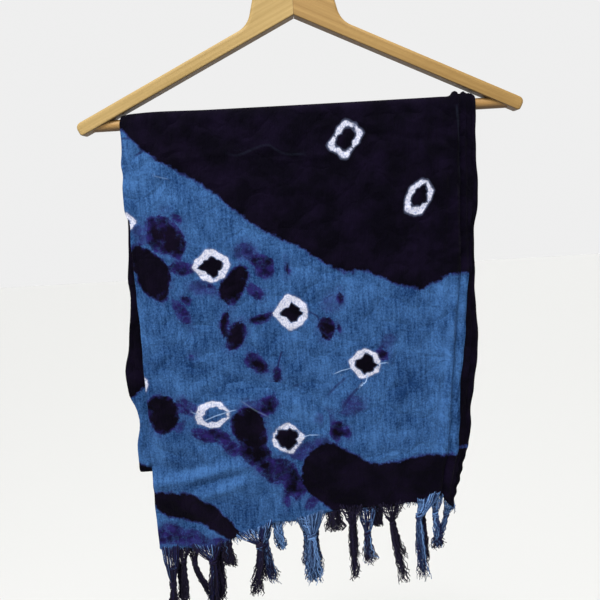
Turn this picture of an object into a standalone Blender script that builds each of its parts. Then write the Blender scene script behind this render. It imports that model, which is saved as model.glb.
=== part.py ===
"""A tie-dyed dupatta stole, folded in four and hung over the bar of a wooden trouser hanger.

The stole is one length of cloth. It is folded once lengthwise, so that the fold is at the left
and the selvedges at the right, and once crosswise, so that both fringed ends meet. The folded
cloth hangs over the bar with both ends at the front and the crosswise fold low at the back.
From the front inwards the four plies are A1, B1, B2 and A2. Plies A1 and B1 are the outer run of
the cloth, joined at the left fold; B2 and A2 are the inner run. The outer run turns up round the
crosswise fold and meets the inner run inside it.

Frame: +Z up, +X to the right seen from the front, the front faces -Y. The origin is the inner top
of the hook, where a rail carries it. Sizes are in millimetres, with heights in the tables
measured from the bar's axis; write_solid turns them into metres about the hook.
"""

import math

import bmesh
import bpy
import numpy as np

MM = 0.001
GAP = 0.3  # clearance between pieces that touch

# Hanger
BAR_BELOW_HOOK = 210.0
BAR_DIAMETER = 11.0
BAR_LENGTH = 413.0
BAR_SIDES = 24
ARM_THICKNESS = 15.0
ARM_HEIGHT = 13.0  # square to the arm's slope
ARM_SLOPE = math.radians(24.9)
UPPER_EDGE_ROUND = 3.5  # along the top, the hump and the neck
TIP_EDGE_ROUND = 3.0
LOWER_EDGE_ROUND = 1.5
EDGE_ROUND_STEPS = (0.0, 0.22, 0.7, 1.5, 3.5)  # distances in from a face
APEX_HEIGHT = 91.5  # underside of the V above the bar's axis
ARM_UNDERSIDE_END = 218.0  # half width at the lower corner of the tip
TIP_LOWER_ROUND = 3.6
TIP_UPPER_ROUND = 6.0
NECK_HALF_WIDTH = 40.3  # at NECK_HEIGHT
NECK_HEIGHT = 103.0
NECK_LEAN = math.radians(15.0)  # each side leans in towards the top
NECK_ROUND = 22.0
HUMP_TOP = 138.0
HUMP_ROUND = 22.0

# Hook
WIRE_RADIUS = 1.9
WIRE_SIDES = 10
LOOP_RADIUS = 21.0  # to the middle of the wire
LOOP_START_DEG = -60.0
LOOP_END_DEG = 200.0
HOOK_ROOT_DEPTH = 28.0  # inside the hump

# Cloth
WALL = 1.0
PLY_PITCH = 1.4  # from the middle of one ply to the next, over the bar
HEM_PITCH = 1.7
FOLD_PITCH = 3.0  # at the crosswise fold, which is a soft roll
BAR_CLEARANCE = 0.5
PLY_LEVEL = {"a1": 1.5, "b1": 0.5, "b2": -0.5, "a2": -1.5}  # in pitches, outwards from the middle
PLY_ORDER = ("a1", "b1", "b2", "a2")  # from the front inwards, each selvedge past the last
COLUMNS = (0.0, 0.07, 0.16, 0.26, 0.36, 0.46, 0.56, 0.65, 0.73, 0.80, 0.86, 0.91, 0.95, 0.98, 1.0)
FRONT_STATIONS = (0.0, 0.05, 0.12, 0.21, 0.32, 0.44, 0.57, 0.71, 0.85, 1.0)  # hem to bar
BAR_STATIONS_DEG = (30.0, 60.0, 90.0, 120.0, 150.0)
BACK_STATIONS = (0.0, 0.14, 0.28, 0.42, 0.55, 0.67, 0.78, 0.88, 0.95)  # bar to crosswise fold
FOLD_STATIONS_DEG = (0.0, 45.0, 90.0, 135.0, 180.0)
LEFT_FOLD_STEPS = 3

# Edges of the front drop: depth below the bar, the left fold, and each ply's selvedge
FRONT_EDGE_COLUMNS = ("depth", "left", "a1", "b1", "b2", "a2")
FRONT_EDGES = (
    (0.0, -178.0, 156.5, 163.5, 167.0, 170.5),
    (62.0, -181.0, 156.6, 163.8, 168.0, 172.0),
    (94.0, -179.0, 156.8, 164.2, 168.4, 172.4),
    (170.0, -178.6, 156.4, 165.0, 168.6, 172.2),
    (228.0, -179.2, 150.6, 161.0, 168.0, 175.0),
    (296.0, -180.4, 145.4, 155.0, 163.0, 170.6),
    (338.0, -181.5, 143.0, 153.6, 161.0, 167.4),
    (361.0, -182.4, 142.0, 152.7, 158.5, 164.0),
    (387.0, -182.8, 135.5, 146.5, 151.5, 156.5),
    (425.0, -182.8, 132.5, 140.5, 145.0, 149.0),
    (470.0, -184.0, 132.0, 140.0, 144.5, 148.5),
)

# Edges of the back drop, seen from the front through the cloth
BACK_EDGE_COLUMNS = ("depth", "left", "a1", "b1", "b2", "a2")
BACK_EDGES = (
    (0.0, -178.0, 156.5, 163.5, 167.0, 170.5),
    (124.0, -187.0, 154.0, 161.0, 165.0, 169.0),
    (176.0, -190.5, 150.0, 157.0, 161.0, 165.0),
    (240.0, -200.5, 141.0, 148.0, 152.0, 156.0),
    (264.0, -204.0, 140.0, 147.0, 151.0, 155.0),
    (300.0, -197.8, 138.6, 145.6, 149.6, 153.6),
    (355.0, -200.5, 137.0, 144.0, 148.0, 152.0),
    (400.0, -200.0, 136.0, 143.0, 147.0, 151.0),
)

# Lower edges: x across the cloth, the depth of the fringed hems, the depth of the crosswise fold
HEM_COLUMNS = ("x", "hem", "crosswise_fold")
HEM_DEPTHS = (
    (-205.0, 454.0, 371.0),
    (-165.0, 461.0, 371.0),
    (-120.0, 460.0, 371.0),
    (-67.0, 440.0, 374.0),
    (-24.0, 434.0, 379.0),
    (20.0, 423.0, 384.0),
    (87.0, 422.0, 389.0),
    (112.0, 418.0, 390.0),
    (129.0, 414.0, 391.0),
    (140.0, 421.0, 392.0),
    (175.0, 425.0, 394.0),
)

# Largest soft folds. angle turns a fold's length from +X towards +Z, rise is outwards.
FOLD_COLUMNS = ("x", "depth", "angle_deg", "half_length", "half_width", "rise")
FRONT_FOLDS = (
    (-25.0, 305.0, -4.0, 70.0, 26.0, 2.2),
    (-112.0, 385.0, 22.0, 60.0, 24.0, 2.4),
    (40.0, 345.0, -58.0, 55.0, 22.0, 1.6),
    (146.0, 230.0, 90.0, 190.0, 9.0, 2.2),
    (126.0, 300.0, 90.0, 110.0, 9.0, -1.4),
    (-60.0, 50.0, 3.0, 110.0, 18.0, -1.2),
    (75.0, 120.0, 78.0, 90.0, 26.0, 1.2),
)
BACK_FOLDS = (
    (-150.0, 250.0, 84.0, 120.0, 26.0, 3.0),
    (-40.0, 220.0, 95.0, 130.0, 30.0, -1.2),
    (60.0, 200.0, 88.0, 130.0, 26.0, 2.4),
    (130.0, 260.0, 92.0, 110.0, 20.0, -1.2),
)
HEM_WAVE_HEIGHT = 1.3
HEM_WAVE_LENGTH = 118.0
HEM_WAVE_DEPTHS = (330.0, 420.0)  # where the wave begins and where it is full
FRONT_FOLD_DEPTHS = (4.0, 45.0)
BACK_FOLD_DEPTHS = (4.0, 60.0)
SOFT_ROLL_SHARES = (0.7, 1.0)  # of the back drop, where its plies part towards the crosswise fold
BUNCH_FROM = 149.0  # the plies ride up on each other at the bar's right end
BUNCH_FULL = 158.0
BUNCH_RISE = 3.6
BUNCH_DEPTH = 55.0
LEFT_TUCK = 5.5  # the lengthwise fold bends in under the arm as it crosses the bar

# Fringe
STRIP_HEIGHT = 3.0
STRIP_END_INSET = 1.0
STOP_CLEARANCE = 0.5
LOCKS = 4  # above each knot, and as many below it
ROOT_WIDTH = 3.0
LAYER_PITCH = 5.0  # from one ply's knots to the next ply's, front to back
LAYER_MIDDLE = -8.6
LAYER_DROP = 6.0  # below the strip, where the gathered yarns reach their layer
KNOT_HALF_HEIGHT = 3.0
KNOT_HALF_DEPTH = 2.0
KNOT_NECK = 0.72
KNOT_ROUNDING = (0.55, 0.9, 1.0, 0.9, 0.55)
LOCK_SLIMNESS = 0.8
LOCK_HALF_DEPTH = 0.75
LOCK_NARROWING = 0.45  # of a lock's root width, all the way down to the knot
LOCK_REACH_LIMIT = 0.6  # of the way to the knot, where a lock is in its layer at the latest
SKIRT_SHARES = (0.45, 1.0)
TIP_SHARE = 0.45
SKIRT_DEPTHS = (0.9, -0.9, 0.9, -0.9)
SKIRT_LENGTHS = (0.93, 1.0, 0.96, 0.9)

# Tassels: place on the hem, half width of the gather, drop to the knot, half width of the knot,
# length below it, sideways lean and half width at the tip
TASSEL_COLUMNS = ("x", "fan", "gather", "knot", "skirt", "lean", "spread")
TASSELS = {
    "a1": (
        (-171.0, 8.0, 40.0, 3.6, 44.0, -5.0, 4.5),
        (-124.0, 13.0, 14.0, 4.2, 64.0, -3.0, 7.0),
        (-70.0, 14.0, 16.0, 4.4, 60.0, -8.0, 6.0),
        (-12.0, 14.0, 20.0, 5.0, 58.0, -1.0, 10.0),
        (33.0, 11.0, 18.0, 3.6, 64.0, 1.0, 7.5),
        (77.0, 12.0, 17.0, 3.4, 74.0, 13.0, 8.0),
        (107.0, 12.0, 15.0, 4.0, 78.0, 4.0, 7.0),
    ),
    "b1": (
        (-158.0, 7.0, 17.0, 3.2, 70.0, -4.0, 4.0),
        (-110.0, 7.0, 16.0, 3.4, 20.0, 5.0, 6.0),
        (-64.0, 8.0, 18.0, 3.6, 52.0, 5.0, 5.5),
        (-14.0, 8.0, 24.0, 4.2, 54.0, 1.0, 7.0),
        (14.0, 5.0, 14.0, 3.6, 16.0, 0.0, 10.0),
        (50.0, 10.0, 31.0, 4.0, 37.0, 2.0, 7.0),
        (126.0, 6.0, 22.0, 3.6, 42.0, 4.0, 4.5),
    ),
    "b2": (
        (-147.0, 6.0, 20.0, 3.2, 56.0, 22.0, 4.0),
        (-122.0, 7.0, 18.0, 3.6, 58.0, 1.0, 5.0),
        (-48.0, 7.0, 16.0, 4.4, 26.0, 2.0, 6.0),
        (-8.0, 8.0, 24.0, 4.0, 50.0, 0.0, 6.0),
        (30.0, 8.0, 20.0, 3.4, 56.0, 0.0, 6.0),
        (61.0, 6.0, 16.0, 3.6, 12.0, 2.0, 4.5),
        (113.0, 8.0, 16.0, 3.6, 64.0, 1.0, 5.0),
    ),
    "a2": (
        (-166.0, 8.0, 36.0, 3.4, 40.0, 0.0, 4.0),
        (-118.0, 9.0, 18.0, 3.6, 54.0, -2.0, 5.0),
        (-66.0, 9.0, 20.0, 3.6, 50.0, 0.0, 6.0),
        (-18.0, 8.0, 24.0, 3.8, 46.0, 2.0, 6.0),
        (38.0, 8.0, 20.0, 3.4, 50.0, 0.0, 6.0),
        (84.0, 8.0, 20.0, 3.4, 56.0, 6.0, 6.0),
        (140.0, 5.0, 16.0, 3.4, 42.0, -13.0, 4.5),
    ),
}

# Colour, roughness and metallic value
MATERIALS = {
    "varnished_pine": ((0.72, 0.46, 0.20), 0.38, 0.0),
    "bright_steel": ((0.62, 0.62, 0.60), 0.25, 1.0),
    "indigo_cloth": ((0.045, 0.15, 0.42), 0.85, 0.0),
    "dark_indigo_cloth": ((0.008, 0.006, 0.02), 0.85, 0.0),
    "indigo_yarn": ((0.05, 0.18, 0.48), 0.9, 0.0),
    "dark_indigo_yarn": ((0.01, 0.008, 0.025), 0.9, 0.0),
}

STACK_MIDDLE = BAR_DIAMETER / 2 + BAR_CLEARANCE + (3 * PLY_PITCH + WALL) / 2


def clear_scene():
    """Removes every object that the file came with."""
    for found in list(bpy.data.objects):
        bpy.data.objects.remove(found, do_unlink=True)


def principled(name):
    """The named material as a Principled BSDF."""
    colour, roughness, metallic = MATERIALS[name]
    material = bpy.data.materials.get(name) or bpy.data.materials.new(name)
    material.use_nodes = True
    shader = material.node_tree.nodes["Principled BSDF"]
    shader.inputs["Base Color"].default_value = (*colour, 1.0)
    shader.inputs["Roughness"].default_value = roughness
    shader.inputs["Metallic"].default_value = metallic
    material.diffuse_color = (*colour, 1.0)
    return material


def write_solid(name, points, faces, material, smooth_deg=40.0):
    """One named object from points in millimetres about the bar and from its faces."""
    places = (np.asarray(points, float) - (0.0, 0.0, BAR_BELOW_HOOK)) * MM
    mesh = bpy.data.meshes.new(name)
    mesh.from_pydata(places.tolist(), [], faces)
    mesh.validate()
    body = bmesh.new()
    body.from_mesh(mesh)
    bmesh.ops.recalc_face_normals(body, faces=body.faces)
    body.to_mesh(mesh)
    body.free()
    mesh.materials.append(principled(material))
    mesh.shade_smooth()
    mesh.set_sharp_from_angle(angle=math.radians(smooth_deg))
    solid = bpy.data.objects.new(name, mesh)
    bpy.context.scene.collection.objects.link(solid)
    return solid


def cut(solid, cutter_name, points, faces):
    """Cuts the given closed shape out of a solid."""
    cutter = write_solid(cutter_name, points, faces, "varnished_pine")
    cutter.hide_render = True
    cutter.display_type = "WIRE"
    boolean = solid.modifiers.new(cutter_name, "BOOLEAN")
    boolean.operation = "DIFFERENCE"
    boolean.solver = "EXACT"
    boolean.object = cutter


def loft(rings):
    """Points and faces of a closed tube through rings of equal count, with flat ends."""
    count = len(rings[0])
    points = np.concatenate([np.asarray(ring, float) for ring in rings])
    faces = []
    for level in range(len(rings) - 1):
        low = level * count
        for i in range(count):
            j = (i + 1) % count
            faces.append((low + i, low + j, low + count + j, low + count + i))
    last = (len(rings) - 1) * count
    faces.append(tuple(range(count))[::-1])
    faces.append(tuple(range(last, last + count)))
    return points, faces


# ---------------------------------------------------------------- hanger


def offset_corners(corners, insets):
    """Moves each edge of a closed outline inwards by its own inset; edge i leaves corner i."""
    count = len(corners)
    lines = []
    for i in range(count):
        start = np.array(corners[i])
        along = np.array(corners[(i + 1) % count]) - start
        along = along / np.linalg.norm(along)
        inwards = np.array((-along[1], along[0]))
        lines.append((start + inwards * insets[i], along))
    moved = []
    for i in range(count):
        (p, d), (q, e) = lines[i - 1], lines[i]
        t = ((q[0] - p[0]) * e[1] - (q[1] - p[1]) * e[0]) / (d[0] * e[1] - d[1] * e[0])
        moved.append(p + d * t)
    return moved


def rounded_outline(corners, radii, steps=6):
    """The closed outline with an arc of its radius at each corner; radius 0 stays sharp."""
    outline = []
    count = len(corners)
    for i in range(count):
        corner = np.array(corners[i])
        back = np.array(corners[i - 1]) - corner
        ahead = np.array(corners[(i + 1) % count]) - corner
        back = back / np.linalg.norm(back)
        ahead = ahead / np.linalg.norm(ahead)
        if radii[i] <= 0.0:
            outline.append(corner)
            continue
        half = math.acos(float(np.clip(back @ ahead, -1.0, 1.0))) / 2
        middle = (back + ahead) / np.linalg.norm(back + ahead)
        centre = corner + middle * radii[i] / math.sin(half)
        start = corner + back * radii[i] / math.tan(half) - centre
        end = corner + ahead * radii[i] / math.tan(half) - centre
        first = math.atan2(start[1], start[0])
        sweep = math.atan2(end[1], end[0]) - first
        sweep = (sweep + math.pi) % (2 * math.pi) - math.pi
        for k in range(steps + 1):
            angle = first + sweep * k / steps
            outline.append(centre + radii[i] * np.array((math.cos(angle), math.sin(angle))))
    return outline


def arc_inset(edge_round, step):
    """How far an edge rounded by the given radius lies in, at a step back from the face."""
    rest = max(edge_round - step, 0.0)
    return edge_round - math.sqrt(edge_round**2 - rest**2)


def arm_rings():
    """Outlines of the right arm from its front face to its back face, long edges rounded."""
    seam = GAP / 2
    fall = math.tan(ARM_SLOPE)
    tip_low = np.array((ARM_UNDERSIDE_END, APEX_HEIGHT - ARM_UNDERSIDE_END * fall))
    square = np.array((math.sin(ARM_SLOPE), math.cos(ARM_SLOPE)))
    tip_high = tip_low + square * ARM_HEIGHT
    top_line = tip_high[1] + tip_high[0] * fall  # where the arm's top line meets the seam
    lean = math.tan(NECK_LEAN)
    neck_line = NECK_HALF_WIDTH + NECK_HEIGHT * lean
    foot = (top_line - fall * neck_line) / (1 - fall * lean)
    corners = [
        (seam, APEX_HEIGHT - seam * fall),
        tuple(tip_low),
        tuple(tip_high),
        (neck_line - foot * lean, foot),
        (neck_line - HUMP_TOP * lean, HUMP_TOP),
        (seam, HUMP_TOP),
    ]
    radii = (0.0, TIP_LOWER_ROUND, TIP_UPPER_ROUND, -NECK_ROUND, HUMP_ROUND, 0.0)
    upper = UPPER_EDGE_ROUND
    edge_rounds = (LOWER_EDGE_ROUND, TIP_EDGE_ROUND, upper, upper, upper, 0.0)
    rings = []
    for side in (-1, 1):
        for step in EDGE_ROUND_STEPS if side < 0 else EDGE_ROUND_STEPS[::-1]:
            insets = [arc_inset(edge_round, step) for edge_round in edge_rounds]
            moved = offset_corners(corners, insets)
            bends = []
            for corner, radius in enumerate(radii):
                inset = max(insets[corner - 1], insets[corner])
                bends.append(radius - inset if radius > 0 else inset - radius if radius < 0 else 0.0)
            outline = rounded_outline(moved, bends)
            y = side * (ARM_THICKNESS / 2 - step)
            rings.append([(x, y, z) for x, z in outline])
    return rings


def cylinder(start, end, radius, sides):
    """A cylinder between two points, as lofted rings."""
    start, end = np.array(start, float), np.array(end, float)
    along = (end - start) / np.linalg.norm(end - start)
    across = np.array((0.0, 1.0, 0.0))
    other = np.cross(along, across)
    turn = np.arange(sides) * 2 * math.pi / sides
    ring = radius * (np.outer(np.cos(turn), across) + np.outer(np.sin(turn), other))
    return loft([start + ring, end + ring])


def build_hanger():
    """Two arms that meet at the middle seam, the trouser bar between them and the hook."""
    half_bar = BAR_LENGTH / 2
    bar_radius = BAR_DIAMETER / 2
    hook_bottom = HUMP_TOP - HOOK_ROOT_DEPTH
    for name, side in (("hanger_arm_left", -1), ("hanger_arm_right", 1)):
        rings = [[(side * x, y, z) for x, y, z in ring] for ring in arm_rings()]
        arm = write_solid(name, *loft(rings), "varnished_pine")
        socket = cylinder(
            (side * (half_bar - 60.0), 0, 0),
            (side * (half_bar + GAP), 0, 0),
            bar_radius + GAP,
            BAR_SIDES,
        )
        cut(arm, name + "_bar_socket", *socket)
        bore = cylinder(
            (0, 0, hook_bottom - GAP), (0, 0, HUMP_TOP + 5.0), WIRE_RADIUS + GAP, WIRE_SIDES
        )
        cut(arm, name + "_hook_bore", *bore)
    bar = cylinder((-half_bar, 0, 0), (half_bar, 0, 0), bar_radius, BAR_SIDES)
    write_solid("hanger_bar", *bar, "varnished_pine")
    build_hook(hook_bottom)


def hook_path(bottom):
    """Middle of the wire: up the shank, out to the right and round the loop to the left."""
    inner_top = BAR_BELOW_HOOK
    loop_height = inner_top - (LOOP_RADIUS - WIRE_RADIUS)
    reach = math.radians(-LOOP_START_DEG)
    shank_top = loop_height - 2 * LOOP_RADIUS * math.sin(reach)
    path = [(0.0, bottom), (0.0, (bottom + shank_top) / 2)]
    for step in range(5):
        angle = reach * step / 4
        path.append((LOOP_RADIUS * (1 - math.cos(angle)), shank_top + LOOP_RADIUS * math.sin(angle)))
    turns = np.radians(np.linspace(LOOP_START_DEG, LOOP_END_DEG, 19)[1:])
    path += [(LOOP_RADIUS * math.cos(a), loop_height + LOOP_RADIUS * math.sin(a)) for a in turns]
    return np.array(path)


def build_hook(bottom):
    """The swivel hook of round wire, with a rounded end."""
    path = hook_path(bottom)
    along = np.gradient(path, axis=0)
    along /= np.linalg.norm(along, axis=1)[:, None]
    end = path[-1] + along[-1] * WIRE_RADIUS * np.array([[0.6], [1.0]])
    centres = np.concatenate([path, end])
    along = np.concatenate([along, along[-1:], along[-1:]])
    radii = np.full(len(centres), WIRE_RADIUS)
    radii[-2:] = WIRE_RADIUS * 0.8, WIRE_RADIUS * 0.35
    turn = np.arange(WIRE_SIDES) * 2 * math.pi / WIRE_SIDES
    rings = []
    for (x, z), (dx, dz), radius in zip(centres, along, radii):
        side = radius * np.sin(turn)
        rings.append(
            np.stack([x - dz * side, radius * np.cos(turn), z + dx * side], 1)
        )
    write_solid("hanger_hook", *loft(rings), "bright_steel", 60.0)


# ---------------------------------------------------------------- cloth


def smooth_step(low, high, at):
    """0 below low, 1 above high, and an even ease between them."""
    share = np.clip((np.asarray(at, float) - low) / (high - low), 0.0, 1.0)
    return share * share * (3 - 2 * share)


def table_curve(columns, rows, key, value, at):
    """A smooth curve through a table: cubic pieces whose slopes come from the rows beside them."""
    knots = np.array([row[columns.index(key)] for row in rows])
    heights = np.array([row[columns.index(value)] for row in rows])
    slopes = np.gradient(heights, knots)
    at = np.clip(np.asarray(at, float), knots[0], knots[-1])
    i = np.clip(np.searchsorted(knots, at) - 1, 0, len(knots) - 2)
    width = knots[i + 1] - knots[i]
    t = (at - knots[i]) / width
    start = (1 + 2 * t) * (1 - t) ** 2 * heights[i] + t * (1 - t) ** 2 * width * slopes[i]
    end = t * t * (3 - 2 * t) * heights[i + 1] + t * t * (t - 1) * width * slopes[i + 1]
    return start + end


def hem_depth(x):
    """Depth of the fringed hems below the bar, across the cloth."""
    return table_curve(HEM_COLUMNS, HEM_DEPTHS, "x", "hem", x)


def crosswise_fold_depth(x):
    """Depth of the crosswise fold below the bar, across the cloth."""
    return table_curve(HEM_COLUMNS, HEM_DEPTHS, "x", "crosswise_fold", x)


def fold_relief(folds, x, depth):
    """Sum of the soft folds: each is a bell across its width and along its length."""
    total = np.zeros(np.broadcast(x, depth).shape)
    for row in folds:
        fold = dict(zip(FOLD_COLUMNS, row))
        turn = math.radians(fold["angle_deg"])
        along = (x - fold["x"]) * math.cos(turn) - (depth - fold["depth"]) * math.sin(turn)
        across = (x - fold["x"]) * math.sin(turn) + (depth - fold["depth"]) * math.cos(turn)
        bell = (along / fold["half_length"]) ** 2 + (across / fold["half_width"]) ** 2
        total += fold["rise"] * np.exp(-bell)
    return total


def bunch(x):
    """How far the plies stand off the bar at its right end."""
    return BUNCH_RISE * smooth_step(BUNCH_FROM, BUNCH_FULL, x)


def front_relief(x, depth):
    """How far the front drop stands forward of its plane."""
    wave = HEM_WAVE_HEIGHT * np.sin(2 * math.pi * x / HEM_WAVE_LENGTH)
    lower = wave * smooth_step(*HEM_WAVE_DEPTHS, depth)
    upper = bunch(x) * (1 - smooth_step(0.0, BUNCH_DEPTH, depth))
    return fold_relief(FRONT_FOLDS, x, depth) * smooth_step(*FRONT_FOLD_DEPTHS, depth) + lower + upper


def back_relief(x, depth):
    """How far the back drop stands behind its plane."""
    ease = smooth_step(*BACK_FOLD_DEPTHS, depth)
    upper = bunch(x) * (1 - smooth_step(0.0, BUNCH_DEPTH, depth))
    return fold_relief(BACK_FOLDS, x, depth) * ease + upper


def pitch_at(part, share):
    """Spacing of the plies: tight over the bar, looser at the hems, a soft roll at the fold."""
    if part == "front":
        return HEM_PITCH + (PLY_PITCH - HEM_PITCH) * share
    if part == "back":
        return PLY_PITCH + (FOLD_PITCH - PLY_PITCH) * float(smooth_step(*SOFT_ROLL_SHARES, share))
    return PLY_PITCH if part == "bar" else FOLD_PITCH


def edge_at(part, depth, name):
    """An edge of the folded cloth at a depth below the bar."""
    if part == "front":
        return table_curve(FRONT_EDGE_COLUMNS, FRONT_EDGES, "depth", name, depth)
    return table_curve(BACK_EDGE_COLUMNS, BACK_EDGES, "depth", name, depth)


def lay(part, share, x, level):
    """Places points of the stack, level millimetres outwards from its middle surface.

    front and back hang straight down with their relief, bar is an arc about the bar and
    crosswise is an arc about the lower end of the back drop's middle surface.
    """
    x, level = np.broadcast_arrays(np.asarray(x, float), np.asarray(level, float))
    out = STACK_MIDDLE + level
    if part == "front":
        depth = hem_depth(x) * (1 - share)
        return np.stack([x, -(out + front_relief(x, depth)), -depth], -1)
    if part == "bar":
        out = out + bunch(x)
        turn = math.radians(share)
        return np.stack([x, -out * math.cos(turn), out * math.sin(turn)], -1)
    fold_depth = crosswise_fold_depth(x)
    if part == "back":
        depth = fold_depth * share
        return np.stack([x, out + back_relief(x, depth), -depth], -1)
    turn = math.radians(share)
    middle = STACK_MIDDLE + back_relief(x, fold_depth)
    return np.stack(
        [x, middle + level * math.cos(turn), -fold_depth - level * math.sin(turn)], -1
    )


def typical_depth(part, share):
    """Depth at which the edge tables are read for a whole ring."""
    if part == "front":
        return float(hem_depth(0.0)) * (1 - share)
    if part == "bar":
        return 0.0
    return float(crosswise_fold_depth(0.0)) * (share if part == "back" else 1.0)


def ply_columns(part, share, ply):
    """Places across a ply. All four share them up to the first ply's selvedge, so that the
    plies nest, and then come the selvedges of the plies in front of this one and its own."""
    depth = typical_depth(part, share)
    left = float(edge_at(part, depth, "left")) + (pitch_at(part, share) + WALL) / 2
    if part == "bar":
        left += LEFT_TUCK * math.sin(math.radians(share))
    first = float(edge_at(part, depth, PLY_ORDER[0]))
    passed = PLY_ORDER[1 : PLY_ORDER.index(ply) + 1]
    selvedges = [float(edge_at(part, depth, name)) for name in passed]
    return np.concatenate([left + (first - left) * np.array(COLUMNS), selvedges])


def run_ring(part, share, outer, inner):
    """The U-shaped section of two plies joined at the left fold, as one closed ring.

    outer and inner name the plies by their distance from the other run, and the ring goes
    along the outside from the first ply's selvedge to the second's, and back along the inside.
    """
    pitch = pitch_at(part, share)
    levels = PLY_LEVEL[outer] * pitch, PLY_LEVEL[inner] * pitch
    side = 1.0 if levels[0] > levels[1] else -1.0
    middle = sum(levels) / 2
    first_x = ply_columns(part, share, outer)[::-1]
    second_x = ply_columns(part, share, inner)
    turn = np.linspace(0, math.pi, LEFT_FOLD_STEPS + 2)[1:-1]
    chains = []
    for wall in (WALL / 2, -WALL / 2):
        bend = pitch / 2 + wall
        x = np.concatenate([first_x, second_x[0] - bend * np.sin(turn), second_x])
        level = np.concatenate(
            [
                np.full(len(first_x), middle + side * bend),
                middle + side * bend * np.cos(turn),
                np.full(len(second_x), middle - side * bend),
            ]
        )
        chains.append(lay(part, share, x, level))
    return np.concatenate([chains[0], chains[1][::-1]])


def loft_wall(rings):
    """A wall through U-shaped rings: its two ends are strips from the outside to the inside.

    Every four-sided patch is split from its left end to its right end upwards along the run,
    on each face of each ply alike, so that plies a fraction of a millimetre apart never cross.
    """
    points = np.concatenate(rings)
    faces = []
    count = len(rings[0])
    half = count // 2
    for level, ring in enumerate(rings[:-1]):
        low, high = level * count, (level + 1) * count
        for i in range(count):
            j = (i + 1) % count
            if ring[j][0] > ring[i][0]:
                faces += [(low + i, low + j, high + j), (low + i, high + j, high + i)]
            else:
                faces += [(low + i, low + j, high + i), (low + j, high + j, high + i)]
    for start in (0, (len(rings) - 1) * count):
        for i in range(half - 1):
            face = (start + i, start + i + 1, start + count - 2 - i, start + count - 1 - i)
            faces.append(face[::-1] if start == 0 else face)
    return points, faces


def build_cloth():
    """The two runs of the cloth, each one wall of two plies from its hem round to the fold."""
    fold = float(crosswise_fold_depth(0.0))
    shared = [("front", share) for share in FRONT_STATIONS]
    shared += [("bar", angle) for angle in BAR_STATIONS_DEG]
    shared += [("back", share) for share in BACK_STATIONS]
    turned = shared + [("crosswise", angle) for angle in FOLD_STATIONS_DEG]
    outer = [run_ring(part, share, "a1", "b1") for part, share in turned]
    write_solid("stole_outer_run", *loft_wall(outer), "indigo_cloth", 70.0)
    meeting = shared + [("back", 1.0 - GAP / fold)]
    inner = [run_ring(part, share, "a2", "b2") for part, share in meeting]
    write_solid("stole_inner_run", *loft_wall(inner), "dark_indigo_cloth", 70.0)


# ---------------------------------------------------------------- fringe


def hem_place(ply, x):
    """The middle of a ply at its hem, read along the wall's own straight edges."""
    columns = ply_columns("front", 0.0, ply)
    _, y, z = lay("front", 0.0, columns, PLY_LEVEL[ply] * HEM_PITCH).T
    return x, float(np.interp(x, columns, y)), float(np.interp(x, columns, z))


class Mesh:
    """Points and faces of one fringe, grown piece by piece."""

    def __init__(self):
        self.points = []
        self.faces = []

    def add(self, places):
        """Adds points and returns their numbers."""
        first = len(self.points)
        self.points += [tuple(float(c) for c in place) for place in places]
        return list(range(first, len(self.points)))

    def tube(self, start, end):
        """Joins two equal rings with four-sided faces."""
        for i in range(len(start)):
            j = (i + 1) % len(start)
            self.faces.append((start[i], start[j], end[j], end[i]))


def cell_ring(x, y, z, half_width, half_depth):
    """Four corners of a lock's section: left front, right front, right back, left back."""
    return [
        (x - half_width, y - half_depth, z),
        (x + half_width, y - half_depth, z),
        (x + half_width, y + half_depth, z),
        (x - half_width, y + half_depth, z),
    ]


def knot_ring(mesh, x, y, z, half_width, half_depth):
    """One level of a knot: five points across the front and five across the back."""
    across = np.linspace(-half_width, half_width, LOCKS + 1)
    depths = half_depth * np.array(KNOT_ROUNDING)
    front = mesh.add([(x + a, y - d, z) for a, d in zip(across, depths)])
    back = mesh.add([(x + a, y + d, z) for a, d in zip(across, depths)])
    return front, back


def column(level, i):
    """The four corners of one of a knot's columns at a level."""
    front, back = level
    return [front[i], front[i + 1], back[i + 1], back[i]]


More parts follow.
